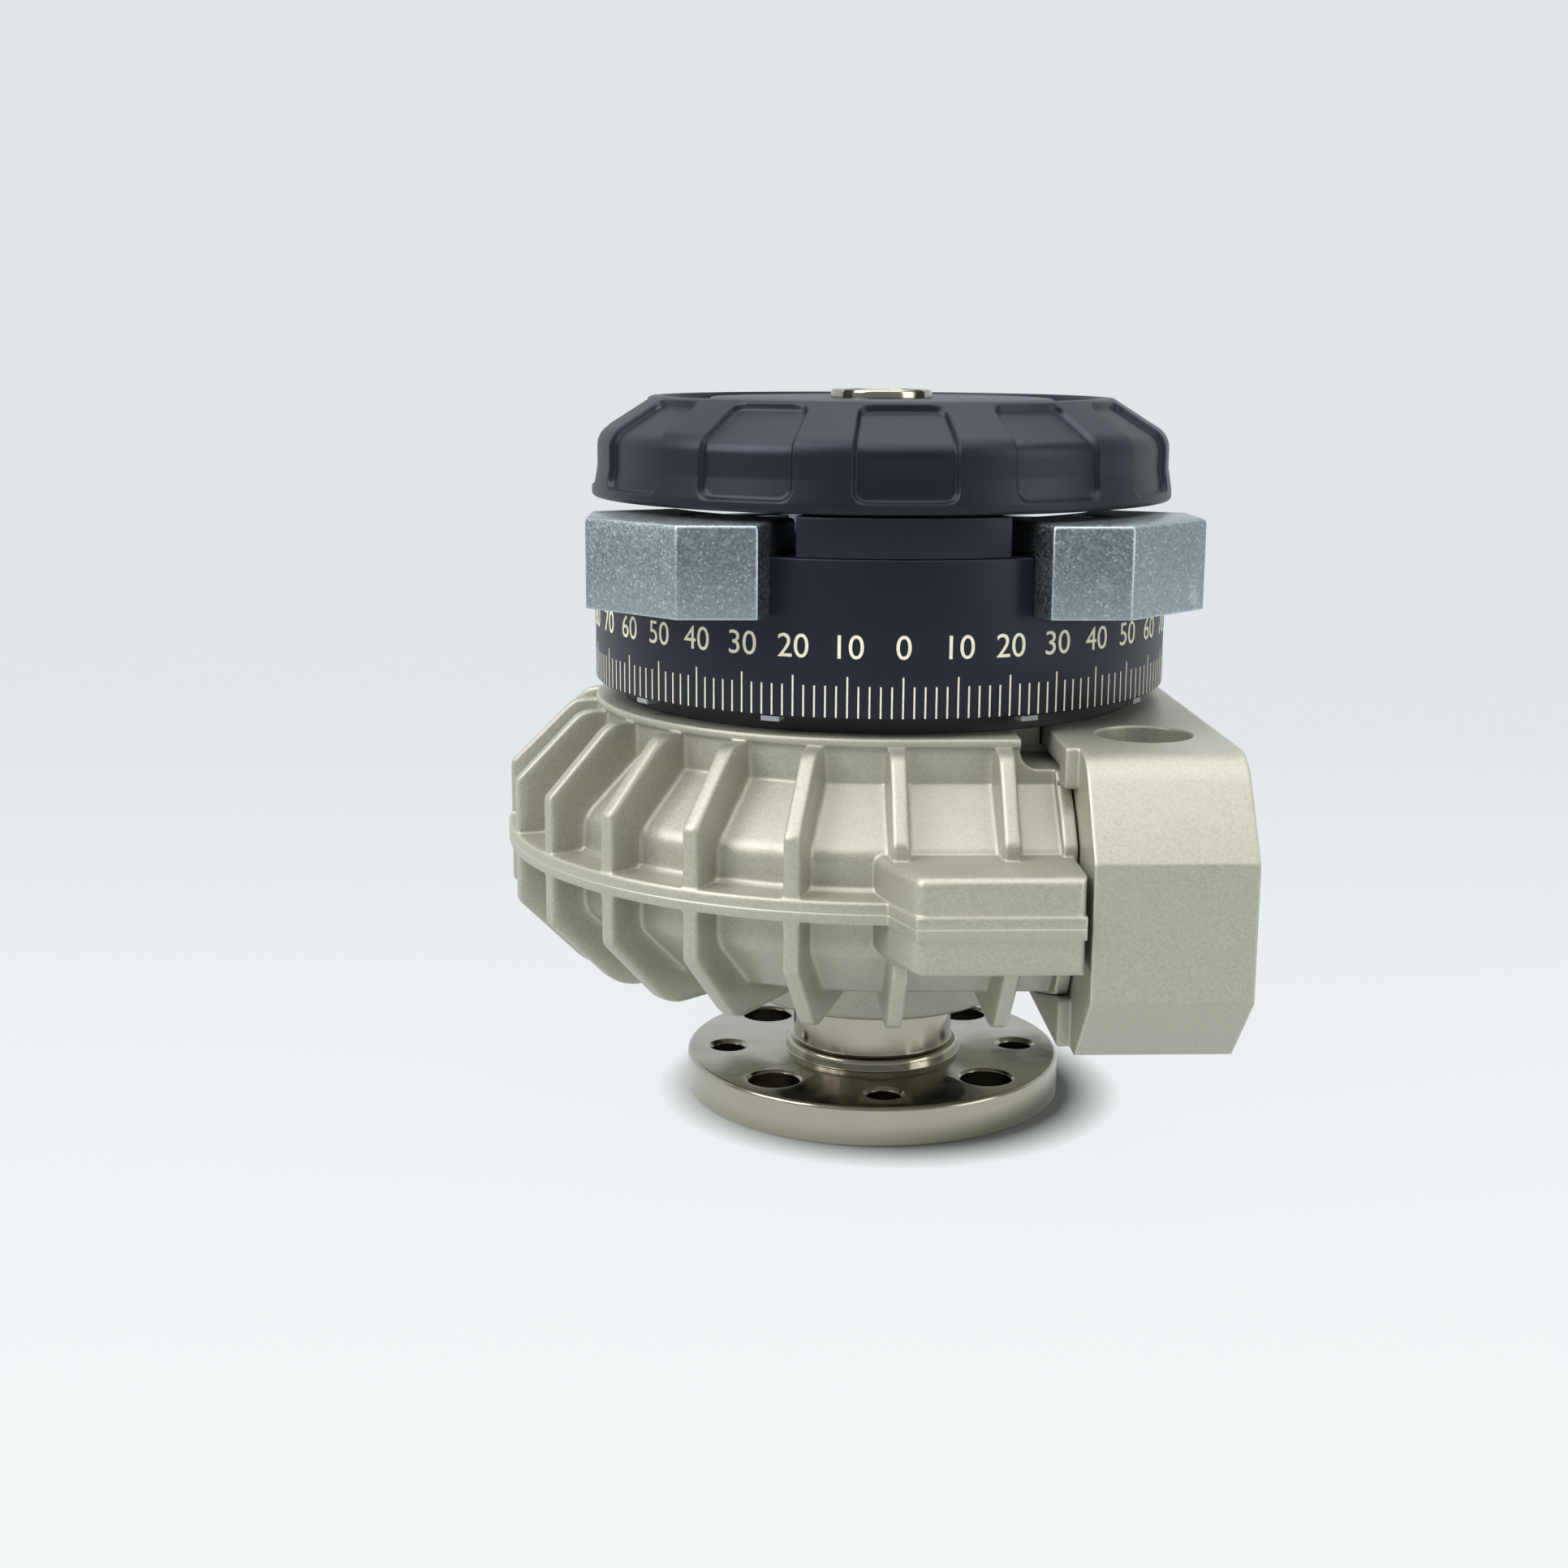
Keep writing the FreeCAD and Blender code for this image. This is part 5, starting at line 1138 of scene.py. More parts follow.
        def outer(edge: bmesh.types.BMEdge) -> bool:
            """Whether an edge is a long outer one or an upright one at the front."""
            one, two = (vertex.co for vertex in edge.verts)
            level_edge = abs(one.z - level) < NEAR and abs(two.z - level) < NEAR
            upright = abs(one.z - two.z) > 1.0 and abs(one.y - front) < NEAR
            inner = abs(one.y) < back + 1.0 and abs(two.y) < back + 1.0
            at_joint = one.x > self.lug_end - 0.1 and two.x > self.lug_end - 0.1
            return (level_edge and not inner and not at_joint) or upright

        soften(mesh, outer, self.lug_round, 4)
        return mesh

    def lug_band(self, mirror: float) -> bmesh.types.BMesh:
        """Proud band along the parting line of a lug."""
        proud = self.lug_proud
        level = self.level(self.flange_half)
        plan = [
            (self.lug_slant - 3.0 - proud, -self.skin_side + 2.0),
            (self.lug_slant - proud, -self.flange_radius + 0.5),
            (self.lug_left - proud * 0.4, -self.lug_front - proud),
            (self.lug_end, -self.lug_front - proud),
            (self.lug_end, -self.skin_side),
        ]
        low, high = sorted((self.parting, level))
        mesh = plan_slab([(x, y * mirror) for x, y in plan], low, high)

        def rim(edge: bmesh.types.BMEdge) -> bool:
            """Whether an edge lies on the band's outer rim, away from the parting plane."""
            points = [vertex.co for vertex in edge.verts]
            return all(abs(point.z - level) < NEAR and abs(point.y) > self.skin_side for point in points)

        soften(mesh, rim, 0.15, 2)
        return mesh

    def end_flange(self) -> bmesh.types.BMesh:
        """Flange that closes the half against the port block, proud of the skin."""
        reach = 60.6
        if self.side is Side.UPPER:
            shape = [(reach, 9.1, 1.6), (57.4, 12.9, 2.0), (50.3, self.height - self.lip_end_drop, 0.3)]
        else:
            shape = [(reach, 8.2, 2.0), (55.5, 15.8, 3.0), (49.3, 17.6, 2.0), (34.5, 21.7, 2.0)]
        points = [(y, self.level(z), radius) for y, z, radius in [(reach, 0.0, 0.0)] + shape]
        points += [(-y, z, radius) for y, z, radius in reversed(points)]
        left = self.joint_plane - self.end_thickness
        mesh = side_slab(rounded_outline(points, 3), left, self.joint_plane)
        soften(mesh, lambda edge: all(abs(vertex.co.x - left) < NEAR for vertex in edge.verts), 0.35, 2)
        return mesh

    def neck(self) -> bmesh.types.BMesh:
        """Round neck under the floor, with a rounded foot and rim."""
        floor = self.parting - self.floor_drop
        bottom = self.parting - self.depth
        corners = [
            (self.web_bore - 1.0, bottom, 0.0),
            (self.neck_foot, bottom, 0.5),
            (self.neck_foot, floor - 0.9, 0.0),
            (self.neck_foot + 0.3, floor - 0.3, 0.0),
            (self.neck_foot + 0.9, floor + 0.2, 0.0),
            (self.web_bore - 1.0, floor + 0.2, 0.0),
        ]
        return turned_ring(rounded_outline(corners, 3), 160)

    def chamber(self) -> bmesh.types.BMesh:
        """The round chamber as a solid to cut out."""
        steps = 72
        outline = []
        for step in range(steps):
            angle = math.radians(FULL_TURN / steps * step)
            out, up = self.chamber_radius * math.cos(angle), self.chamber_radius * math.sin(angle)
            outline.append((self.path_radius + out, self.parting + up))
        return turned_ring(outline, 160)

    def bearing_cuts(self) -> list[bmesh.types.BMesh]:
        """Bores of the half: hub pocket, web and bearing seat."""
        half = self.hub_half_height
        pocket = disc_mesh(self.hub_radius, self.parting - half, self.parting + half)
        if self.side is Side.UPPER:
            top = self.parting + self.height
            web = disc_mesh(self.web_bore, self.parting, top + OVER)
            seat = disc_mesh(self.upper_seat_radius, top - self.upper_seat_depth, top + OVER)
        else:
            bottom = self.parting - self.depth
            web = disc_mesh(self.web_bore, bottom - OVER, self.parting)
            seat = disc_mesh(self.seat_radius, bottom - OVER, bottom + self.seat_depth)
        return [pocket, web, seat]

    def lip_cuts(self) -> list[bmesh.types.BMesh]:
        """Lowered ends of the lip, each with a round step, and the strip under the port block's tab."""
        top = self.parting + self.height
        floor = top - self.lip_end_drop
        far, high = self.joint_plane + 4.0, top + 4.0
        near, step_round = self.lip_end, 3.0
        step = [(near, floor, step_round), (far, floor, 0.0), (far, high, 0.0), (near, high, 0.0)]
        beyond = self.lip_radius + 6.0
        cuts = []
        for low in (-beyond, self.notch_inner):
            pull = Vector((0.0, beyond - self.notch_inner, 0.0))
            cuts.append(slab([Vector((x, low, z)) for x, z in rounded_outline(step, 8)], pull))
        left, reach = self.tab_left - self.tab_gap, self.tab_half + self.tab_gap
        strip = [(left, -reach), (far, -reach), (far, reach), (left, reach)]
        cuts.append(plan_slab(strip, top - self.tab_depth - self.tab_gap, high))
        for mirror in (1.0, -1.0):
            inner = (self.tab_half - self.leg_width - self.tab_gap) * mirror
            outer = (reach + self.leg_width) * mirror
            ends = [(left, inner), (far, inner), (far, outer), (left, outer)]
            cuts.append(plan_slab(ends, top - self.leg_depth - self.tab_gap, high))
        return cuts

    def build(self) -> bpy.types.Object:
        """Build the half and put it in place of its node."""
        name = "upper_housing" if self.side is Side.UPPER else "lower_housing"
        half = mesh_object(name + "_casting", self.skin())
        if self.side is Side.LOWER:
            combine(half, self.neck(), Join.ADD)
        combine(half, self.end_flange(), Join.ADD)
        if self.side is Side.UPPER:
            for cutter in self.lip_cuts():
                combine(half, cutter, Join.CUT)
        for mirror in (1.0, -1.0):
            combine(half, self.lug(mirror), Join.ADD)
            combine(half, self.lug_band(mirror), Join.ADD)
        combine(half, self.chamber(), Join.CUT)
        for cutter in self.bearing_cuts():
            combine(half, cutter, Join.CUT)
        smooth_by_angle(half)
        return self.dress(half, self.finishes.paint, "housing", "housing_paint", [name])


@dataclass
class PortBlock(Assembly):
    """Block with the supply ports and the mounting holes."""

    left: float = 26.6
    right: float = 51.3
    top: float = 73.4
    bottom: float = 25.4
    half_length: float = 73.2
    upper_run: float = 10.6
    upper_height: float = 14.7
    lower_run: float = 12.0
    lower_height: float = 12.0
    top_round: float = 9.0
    tab_left: float = 24.5
    tab_half: float = 57.3
    tab_depth: float = 3.4
    leg_depth: float = 6.5
    leg_width: float = 5.3
    seat_left: float = 26.2
    seat_reach: Pair = (50.9, 20.2)
    seat_round: float = 15.9
    hole_x: float = 39.0
    hole_y: float = 45.1
    hole_radius: float = 4.5
    counterbore_radius: float = 7.7
    counterbore_depth: float = 9.0
    port_y: float = 31.0
    port_radius: float = 5.9
    screw_y: float = 61.5
    screw_spread: float = 4.4
    screw_radius: float = 3.8
    screw_start: float = 40.0
    port_depth: float = 13.0
    port_face: Pair = (9.0, 0.5)
    channel: Pair = (4.0, 12.0)

    def outline(self) -> list[Pair]:
        """Side outline of the block, as (y, z) points."""
        half = self.half_length
        corners = [
            (half - self.lower_run, self.bottom, 0.8),
            (half, self.bottom + self.lower_height, 0.8),
            (half, self.top - self.upper_height, 0.8),
            (half - self.upper_run, self.top, self.top_round),
        ]
        corners += [(-y, z, radius) for y, z, radius in reversed(corners)]
        return rounded_outline(corners, 8)

    def upper_tab_outline(self) -> list[Pair]:
        """Side outline of the tab over the housing's end, with a leg at each side, as (y, z) points."""
        half = self.tab_half
        inner = half - self.leg_width
        leg, low = self.top - self.leg_depth, self.top - self.tab_depth
        corners = [(half, self.top, 0.4), (half, leg, 0.6), (inner, leg, 0.4), (inner, low, 0.4)]
        corners += [(-y, z, radius) for y, z, radius in reversed(corners)]
        return rounded_outline(corners, 3)

    def lower_tab_outline(self) -> list[Pair]:
        """Side outline of the tab under the housing's end, as (y, z) points."""
        half = self.tab_half
        corners = [
            (half, self.bottom, 0.5),
            (half, self.bottom + 7.9, 0.5),
            (55.5, self.bottom + 7.9, 0.3),
            (49.3, self.bottom + 6.1, 1.0),
            (34.5, self.bottom + 2.0, 1.0),
        ]
        corners += [(-y, z, radius) for y, z, radius in reversed(corners)]
        return rounded_outline(corners, 3)

    def seat_outline(self) -> list[Pair]:
        """Outline of the raised seat that meets the housing, as (y, z) points."""
        reach, height = self.seat_reach
        middle = (self.top + self.bottom) / 2.0
        signs = ((1, -1), (1, 1), (-1, 1), (-1, -1))
        return rounded_outline([(y * reach, middle + z * height, self.seat_round) for y, z in signs], 8)

    def tab(self, outline: Sequence[Pair]) -> bmesh.types.BMesh:
        """One tab with a softened left edge."""
        left = self.tab_left
        mesh = side_slab(outline, left, self.left + 0.5)
        soften(mesh, lambda edge: all(abs(vertex.co.x - left) < NEAR for vertex in edge.verts), 0.35, 2)
        return mesh

    def bores(self, mirror: float) -> list[bmesh.types.BMesh]:
        """Mounting hole with its counterbores, supply port with its channel and screw holes of one end."""
        y, port, screw = self.hole_y * mirror, self.port_y * mirror, self.screw_y * mirror
        middle = (self.top + self.bottom) / 2.0
        above, below, outside = self.top + OVER, self.bottom - OVER, self.right + OVER
        face_radius, face_depth = self.port_face
        channel_radius, channel_end = self.channel
        cuts = [
            disc_mesh(self.hole_radius, below, above, self.hole_x, y, 64),
            disc_mesh(self.counterbore_radius, self.top - self.counterbore_depth, above, self.hole_x, y),
            disc_mesh(self.counterbore_radius, below, self.bottom + self.counterbore_depth, self.hole_x, y),
            bar_mesh(self.port_radius, self.right - self.port_depth, outside, port, middle),
            bar_mesh(face_radius, self.right - face_depth, outside, port, middle),
            bar_mesh(channel_radius, self.seat_left - OVER, self.right - channel_end, port, middle),
        ]
        for level in (-self.screw_spread, self.screw_spread):
            cuts.append(bar_mesh(self.screw_radius, self.screw_start, outside, screw, middle + level))
        return cuts

    def build(self) -> bpy.types.Object:
        """Build the block and put it in place of its node."""
        body = side_slab(self.outline(), self.left, self.right)
        soften(body, self.is_face_edge, 0.7, 3)
        block = mesh_object("port_block_casting", body)
        combine(block, side_slab(self.seat_outline(), self.seat_left, self.left + 0.5), Join.ADD)
        combine(block, self.tab(self.upper_tab_outline()), Join.ADD)
        combine(block, self.tab(self.lower_tab_outline()), Join.ADD)
        for mirror in (1.0, -1.0):
            for cutter in self.bores(mirror):
                combine(block, cutter, Join.CUT)
        smooth_by_angle(block, 32.0)
        return self.dress(block, self.finishes.paint, "housing", "housing_paint", ["port_block"])

    def is_face_edge(self, edge: bmesh.types.BMEdge) -> bool:
        """Whether an edge bounds the left or right face."""
        one, two = (vertex.co.x for vertex in edge.verts)
        return abs(one - two) < NEAR


@dataclass
class DegreeRing(Assembly):
    """Graduated ring with its marks, digits, raised front segment and black neck."""

    radius: float = 50.0
    low: float = 76.4
    high: float = 101.5
    inner: float = 40.2
    flange_inner: float = 33.0
    flange_height: float = 3.0
    slot_radius: float = 44.5
    slot_width: float = 4.4
    cavity_width: float = 6.6
    lip: float = 4.0
    cavity_height: float = 5.0
    segment_top: float = 107.9
    segment_half: float = 19.55
    segment_inner: float = 33.6
    segment_screw_angle: float = 11.0
    segment_screw_radius: float = 37.0
    segment_head: Pair = (3.6, 4.3)
    neck_inner: float = 12.0
    neck_low: float = 73.4
    neck_outer: float = 45.0
    neck_wall: float = 40.15
    neck_floor: float = 78.4
    mark_low: float = 76.7
    long_mark: float = 6.5
    short_mark: float = 5.0
    mark_width: float = 0.27
    digit_low: float = 86.0
    digit_height: float = 3.75
    ink_rise: float = 0.04

    def profile(self) -> list[Pair]:
        """Section of the ring."""
        half, wide = self.slot_width / 2.0, self.cavity_width / 2.0
        floor = self.high - self.lip - self.cavity_height
        corners = [
            (self.inner, self.low, 0.0),
            (self.radius, self.low, 0.5),
            (self.radius, self.high, 0.4),
            (self.slot_radius + half, self.high, 0.3),
            (self.slot_radius + half, self.high - self.lip, 0.0),
            (self.slot_radius + wide, self.high - self.lip, 0.0),
            (self.slot_radius + wide, floor, 0.0),
            (self.slot_radius - wide, floor, 0.0),
            (self.slot_radius - wide, self.high - self.lip, 0.0),
            (self.slot_radius - half, self.high - self.lip, 0.0),
            (self.slot_radius - half, self.high, 0.3),
            (self.flange_inner, self.high, 0.3),
            (self.flange_inner, self.high - self.flange_height, 0.0),
            (self.inner, self.high - self.flange_height, 0.0),
        ]
        return rounded_outline(corners, 3)

    def mark(self, mesh: bmesh.types.BMesh, degrees: float, length: float) -> None:
        """Add one printed line to the marks' mesh."""
        half = math.degrees(self.mark_width / 2.0 / self.radius)
        inside, outside = self.radius - 0.1, self.radius + self.ink_rise
        corners = []
        for radius in (inside, outside):
            for phi, height in ((-half, 0.0), (half, 0.0), (half, length), (-half, length)):
                corners.append(mesh.verts.new(polar(radius, degrees + phi, self.mark_low + height)))
        for face in ((0, 1, 2, 3), (4, 7, 6, 5), (0, 4, 5, 1), (1, 5, 6, 2), (2, 6, 7, 3), (3, 7, 4, 0)):
            mesh.faces.new([corners[index] for index in face])

    def digits(self, words: str, degrees: float, name: str) -> bpy.types.Object:
        """One plain number wrapped on the ring.

        Args:
            words: The number's digits.
            degrees: Angle of its middle.
            name: Name of the new object.

        Returns:
            The number as a mesh object.
        """
        curve = bpy.data.curves.new(name, "FONT")
        curve.body = words
        curve.align_x = "CENTER"
        curve.size = 1.0
        curve.extrude = 0.02
        holder = bpy.data.objects.new(name, curve)
        bpy.context.scene.collection.objects.link(holder)
        graph = bpy.context.evaluated_depsgraph_get()
        data = bpy.data.meshes.new_from_object(holder.evaluated_get(graph))
        bpy.data.objects.remove(holder)
        bottom = min(vertex.co.y for vertex in data.vertices)
        top = max(vertex.co.y for vertex in data.vertices)
        grow = self.digit_height / (top - bottom)
        for vertex in data.vertices:
            across = vertex.co.x * grow
            outward = self.radius + (self.ink_rise if vertex.co.z > 0.0 else -0.1)
            height = self.digit_low + (vertex.co.y - bottom) * grow
            vertex.co = polar(outward, degrees + math.degrees(across / self.radius), height) * MM
        piece = bpy.data.objects.new(name, data)
        bpy.context.scene.collection.objects.link(piece)
        return piece

    def build(self) -> None:
        """Build the ring, its printing, the front segment and the neck."""
        ring = mesh_object("degree_ring", turned_ring(self.profile(), 300))
        smooth_by_angle(ring)
        self.dress(ring, self.finishes.anodised, "housing", "navy_anodised", ["scale_ring"])
        lines = bmesh.new()
        for degrees in range(-90, 91, 2):
            self.mark(lines, float(degrees), self.long_mark if degrees % 10 == 0 else self.short_mark)
        printed = mesh_object("degree_marks", lines)
        self.dress(printed, self.finishes.ink, "housing", None)
        for degrees in range(-90, 91, 10):
            side = "left" if degrees < 0 else "right"
            name = f"degree_digits_{side}_{abs(degrees)}"
            number = self.digits(str(abs(degrees)), float(degrees), name)
            self.dress(number, self.finishes.ink, "housing", None)
        self.build_segment()
        self.build_neck()

    def build_segment(self) -> None:
        """Build the raised segment at the scale's zero."""
        corners = [
            (self.segment_inner, self.high, 0.0),
            (self.radius, self.high, 0.25),
            (self.radius, self.segment_top, 0.4),
            (self.segment_inner, self.segment_top, 0.4),
        ]
        mesh = turned_sector(rounded_outline(corners, 3), -self.segment_half, self.segment_half, 40)
        segment = mesh_object("zero_segment", mesh)
        radius, depth = self.segment_head
        for phi in (-self.segment_screw_angle, self.segment_screw_angle):
            place = polar(self.segment_screw_radius, phi, 0.0)
            low, high = self.segment_top - depth, self.segment_top + OVER
            combine(segment, disc_mesh(radius, low, high, place.x, place.y, 48), Join.CUT)
        smooth_by_angle(segment)
        self.dress(segment, self.finishes.anodised, "housing", "navy_anodised", ["front_segment"])

    def build_neck(self) -> None:
        """Build the black neck under the ring."""
        shelf = self.high - self.flange_height
        corners = [
            (self.neck_inner, self.neck_low, 0.0),
            (self.neck_outer, self.neck_low, 0.0),
            (self.neck_outer, self.low, 0.0),
            (self.neck_wall, self.low, 0.0),
            (self.neck_wall, shelf, 0.0),
            (self.flange_inner, shelf, 0.0),
            (self.flange_inner, self.neck_floor, 0.0),
            (self.neck_inner, self.neck_floor, 0.0),
        ]
        neck = mesh_object("ring_carrier", turned_ring(rounded_outline(corners), 240))
        smooth_by_angle(neck)
        self.dress(neck, self.finishes.black, "housing", "black_anodised", ["stop_carrier"])


@dataclass
class EndStop(Assembly):
    """Sliding stop block, seen in the half with positive x; its mirror image is the other one."""

    right: bool = True
    top: float = 106.8
    low: float = 92.2
    ring_top: float = 101.5
    ring_radius: float = 50.1
    inner: float = 39.5
    near_angle: float = 24.6
    corner_one: Pair = (22.4, 50.5)
    corner_two: Pair = (35.2, 50.5)
    face: float = 49.7
    chamfer: float = 0.8
    slot_radius: float = 44.5
    ring_gap: float = 0.1
    screw_angle: float = 45.0
    head: Pair = (3.6, 3.6)
    shank_radius: float = 2.05
    outside: float = 44.0

    def plan(self) -> list[Pair]:
        """Outline seen from above."""
        far_angle = QUARTER_TURN - self.near_angle
        near = polar(self.inner - 1.0, self.near_angle, 0.0)
        far = polar(self.inner - 1.0, far_angle, 0.0)
        slope = math.tan(math.radians(self.near_angle))
        far_y = self.face / math.tan(math.radians(far_angle))
        return [
            (near.x, near.y),
            (self.corner_one[1] * slope * 0.985, -self.corner_one[1]),
            (self.corner_two[0], -self.corner_two[1]),
            (self.face + 0.1, -self.corner_two[0]),
            (self.face, -far_y),
            (far.x, far.y),
        ]

    def build(self) -> bpy.types.Object:
        """Build the stop and put it in place of its node."""
        side = "right" if self.right else "left"
        mirror = 1.0 if self.right else -1.0
        mesh = plan_slab([(x * mirror, y) for x, y in self.plan()], self.low, self.top)
        soften(mesh, self.is_outer_top, self.chamfer, 2)
        stop = mesh_object(side + "_stop", mesh)
        ring = disc_mesh(self.ring_radius, self.low - OVER, self.ring_top + self.ring_gap, segments=300)
        combine(stop, ring, Join.CUT)
        combine(stop, disc_mesh(self.inner, self.low - OVER, self.top + OVER, segments=240), Join.CUT)
        place = polar(self.slot_radius, self.screw_angle * mirror, 0.0)
        radius, depth = self.head
        combine(stop, disc_mesh(radius, self.top - depth, self.top + OVER, place.x, place.y, 64), Join.CUT)
        combine(stop, disc_mesh(self.shank_radius, self.low, self.top, place.x, place.y, 48), Join.CUT)
        smooth_by_angle(stop)
        return self.dress(stop, self.finishes.zinc, side + "_stop", "zinc_steel", [side + "_stop_block"])

    def is_outer_top(self, edge: bmesh.types.BMEdge) -> bool:
        """Whether an edge runs along the outside of the top face."""
        one, two = (vertex.co for vertex in edge.verts)
        on_top = abs(one.z - self.top) < NEAR and abs(two.z - self.top) < NEAR
        middle = (one + two) / 2.0
        return on_top and math.hypot(middle.x, middle.y) > self.outside


@dataclass
class TurningCap(Assembly):
    """Cap with a ring of rounded recesses, and its slotted nut."""

    low: float = 108.2
    lip_radius: float = 50.4
    lip_height: float = 1.6
    draft_height: float = 5.4
    radius: float = 49.75
    wall_height: float = 10.8
    slope_height: float = 6.1
    rim_radius: float = 40.0
    rim_inner: float = 38.2
    shoulder_round: float = 4.0
    rim_round: float = 1.0
    channel_depth: float = 3.9
    disc_radius: float = 29.8
    disc_rise: float = -0.2
    hub_radius: float = 15.5
    shell: float = 2.4
    hub_low: float = 109.0
    seat: float = 112.05
    pocket_count: int = 12
    pocket_half: float = 9.7
    pocket_depth: float = 1.0
    pocket_low: float = 109.8
    pocket_margin: float = 0.45
    pocket_corner: float = 2.2
    pocket_wall: float = 0.7
    nut_radius: float = 8.8
    nut_height: float = 1.45
    thread_bore: float = 6.05
    shaft_bore: float = 10.05
    slot_half: float = 1.2
    slot_run: Pair = (7.5, 10.0)

    def levels(self) -> tuple[float, float, float, float]:
        """Heights of the wall's top, the rim, the disc and the channel."""
        wall = self.low + self.wall_height
        rim = wall + self.slope_height
        return wall, rim, rim + self.disc_rise, rim - self.channel_depth

    def outer_run(self) -> list[Pair]:
        """Outside of the cap, from its foot to the rim, at fine steps."""
        wall, rim, _, _ = self.levels()
        corners = [
            (self.lip_radius - 0.3, self.low, 0.0),
            (self.lip_radius, self.low + 0.3, 0.0),
            (self.lip_radius, self.low + self.lip_height, 0.0),
            (self.radius, self.low + self.draft_height, 0.0),
            (self.radius, wall, self.shoulder_round),
            (self.rim_radius, rim, self.rim_round),
            (self.rim_inner, rim, 0.0),
        ]
        points = rounded_outline(corners, 10, closed=False)
        return resampled(points, 96)

    def inner_run(self) -> list[Pair]:
        """The rest of the section: channel, disc, bore and underside."""
        wall, rim, disc, channel = self.levels()
        under_channel, under_disc = channel - self.shell, disc - self.shell
        corners = [
            (self.rim_inner, rim, 0.0),
            (self.rim_inner - 0.3, rim - 0.4, 0.0),
            (self.rim_inner - 0.5, channel, 0.6),
            (self.disc_radius + 0.5, channel, 0.6),
            (self.disc_radius, disc, 0.5),
            (self.thread_bore, disc, 0.0),
            (self.thread_bore, self.seat, 0.0),
            (self.shaft_bore, self.seat, 0.0),
            (self.shaft_bore, self.hub_low, 0.0),
            (self.hub_radius, self.hub_low, 0.0),
            (self.hub_radius, under_disc, 0.0),
            (self.disc_radius - self.shell, under_disc, 0.0),
            (self.disc_radius - self.shell, under_channel, 0.0),
            (self.rim_inner + 0.5, under_channel, 0.0),
            (self.radius - self.shell, wall - self.shell * 0.6, 0.0),
            (self.radius - self.shell, self.low, 0.0),
        ]
        return rounded_outline(corners, 4, closed=False)[1:]

    def pocket_share(self, phi: float, way: float, limits: Pair, radius: float) -> float:
        """How deep a point lies in the nearest recess, from 0 to 1.

        Args:
            phi: Angle from the middle of the recess in degrees.
            way: Distance along the section in millimetres.
            limits: The recess's ends along the section.
            radius: Radius of the point.

        Returns:
            Zero outside the recess and one on its floor.
        """
        half_width = math.radians(self.pocket_half) * radius
        half_length = (limits[1] - limits[0]) / 2.0
        across = abs(math.radians(phi) * radius) - (half_width - self.pocket_corner)
        along = abs(way - (limits[0] + limits[1]) / 2.0) - (half_length - self.pocket_corner)
        outside = math.hypot(max(across, 0.0), max(along, 0.0))
        distance = outside + min(max(across, along), 0.0) - self.pocket_corner
        share = max(0.0, min(1.0, -distance / self.pocket_wall))
        return share * share * (3.0 - 2.0 * share)

    def column_angles(self) -> list[float]:
        """Angles of the columns, closer together at the recesses' sides."""
        wall = math.degrees(self.pocket_wall / self.radius)
        offsets = [self.pocket_half - wall * share for share in (1.5, 1.0, 0.75, 0.5, 0.25, 0.0, -0.4)]
        offsets += [self.pocket_half - wall * 1.5 - step for step in (0.7, 1.6, 2.8, 4.4, 6.0)]
        beside = sorted(offset for offset in offsets if offset > 0.0)
        pitch = FULL_TURN / self.pocket_count
        angles: list[float] = []
        for index in range(self.pocket_count):
            middle = pitch * index
            angles += [middle - offset for offset in reversed(beside)]
            angles.append(middle)
            angles += [middle + offset for offset in beside]
            angles += [middle + pitch / 2.0 + offset for offset in (-2.6, 0.0, 2.6)]
        return angles

    def mesh(self) -> bmesh.types.BMesh:
        """Closed form of the cap with its recesses."""
        outer, inner = self.outer_run(), self.inner_run()
        wall, rim, _, _ = self.levels()
        ways = [0.0]
        for start, end in zip(outer, outer[1:]):
            ways.append(ways[-1] + math.hypot(end[0] - start[0], end[1] - start[1]))
        low_way = next(way for way, point in zip(ways, outer) if point[1] > self.pocket_low)
        high_way = max(way for way, point in zip(ways, outer) if point[1] < rim - self.pocket_margin * 0.8)
        pitch = FULL_TURN / self.pocket_count
        angles = self.column_angles()
        rows: list[list[Vector]] = []
        for index, (radius, height) in enumerate(outer):
            before, after = outer[max(index - 1, 0)], outer[min(index + 1, len(outer) - 1)]
            along = (after[0] - before[0], after[1] - before[1])
            length = math.hypot(*along)
            inward = (-along[1] / length, along[0] / length)
            row: list[Vector] = []
            for phi in angles:
                beside = (phi + pitch / 2.0) % pitch - pitch / 2.0
                share = self.pocket_share(beside, ways[index], (low_way, high_way), radius)
                depth = self.pocket_depth * share
                row.append(polar(radius + inward[0] * depth, phi, height + inward[1] * depth))
            rows.append(row)
        rows += [[polar(radius, phi, height) for phi in angles] for radius, height in inner]
        return grid_mesh(rows, True, True)

    def build(self) -> None:
        """Build the cap and its nut."""
        cap = mesh_object("turning_cap", self.mesh())
        smooth_by_angle(cap, 38.0)
        self.dress(cap, self.finishes.plastic, "rotor", "cap_plastic", ["cap"])
        self.build_nut()

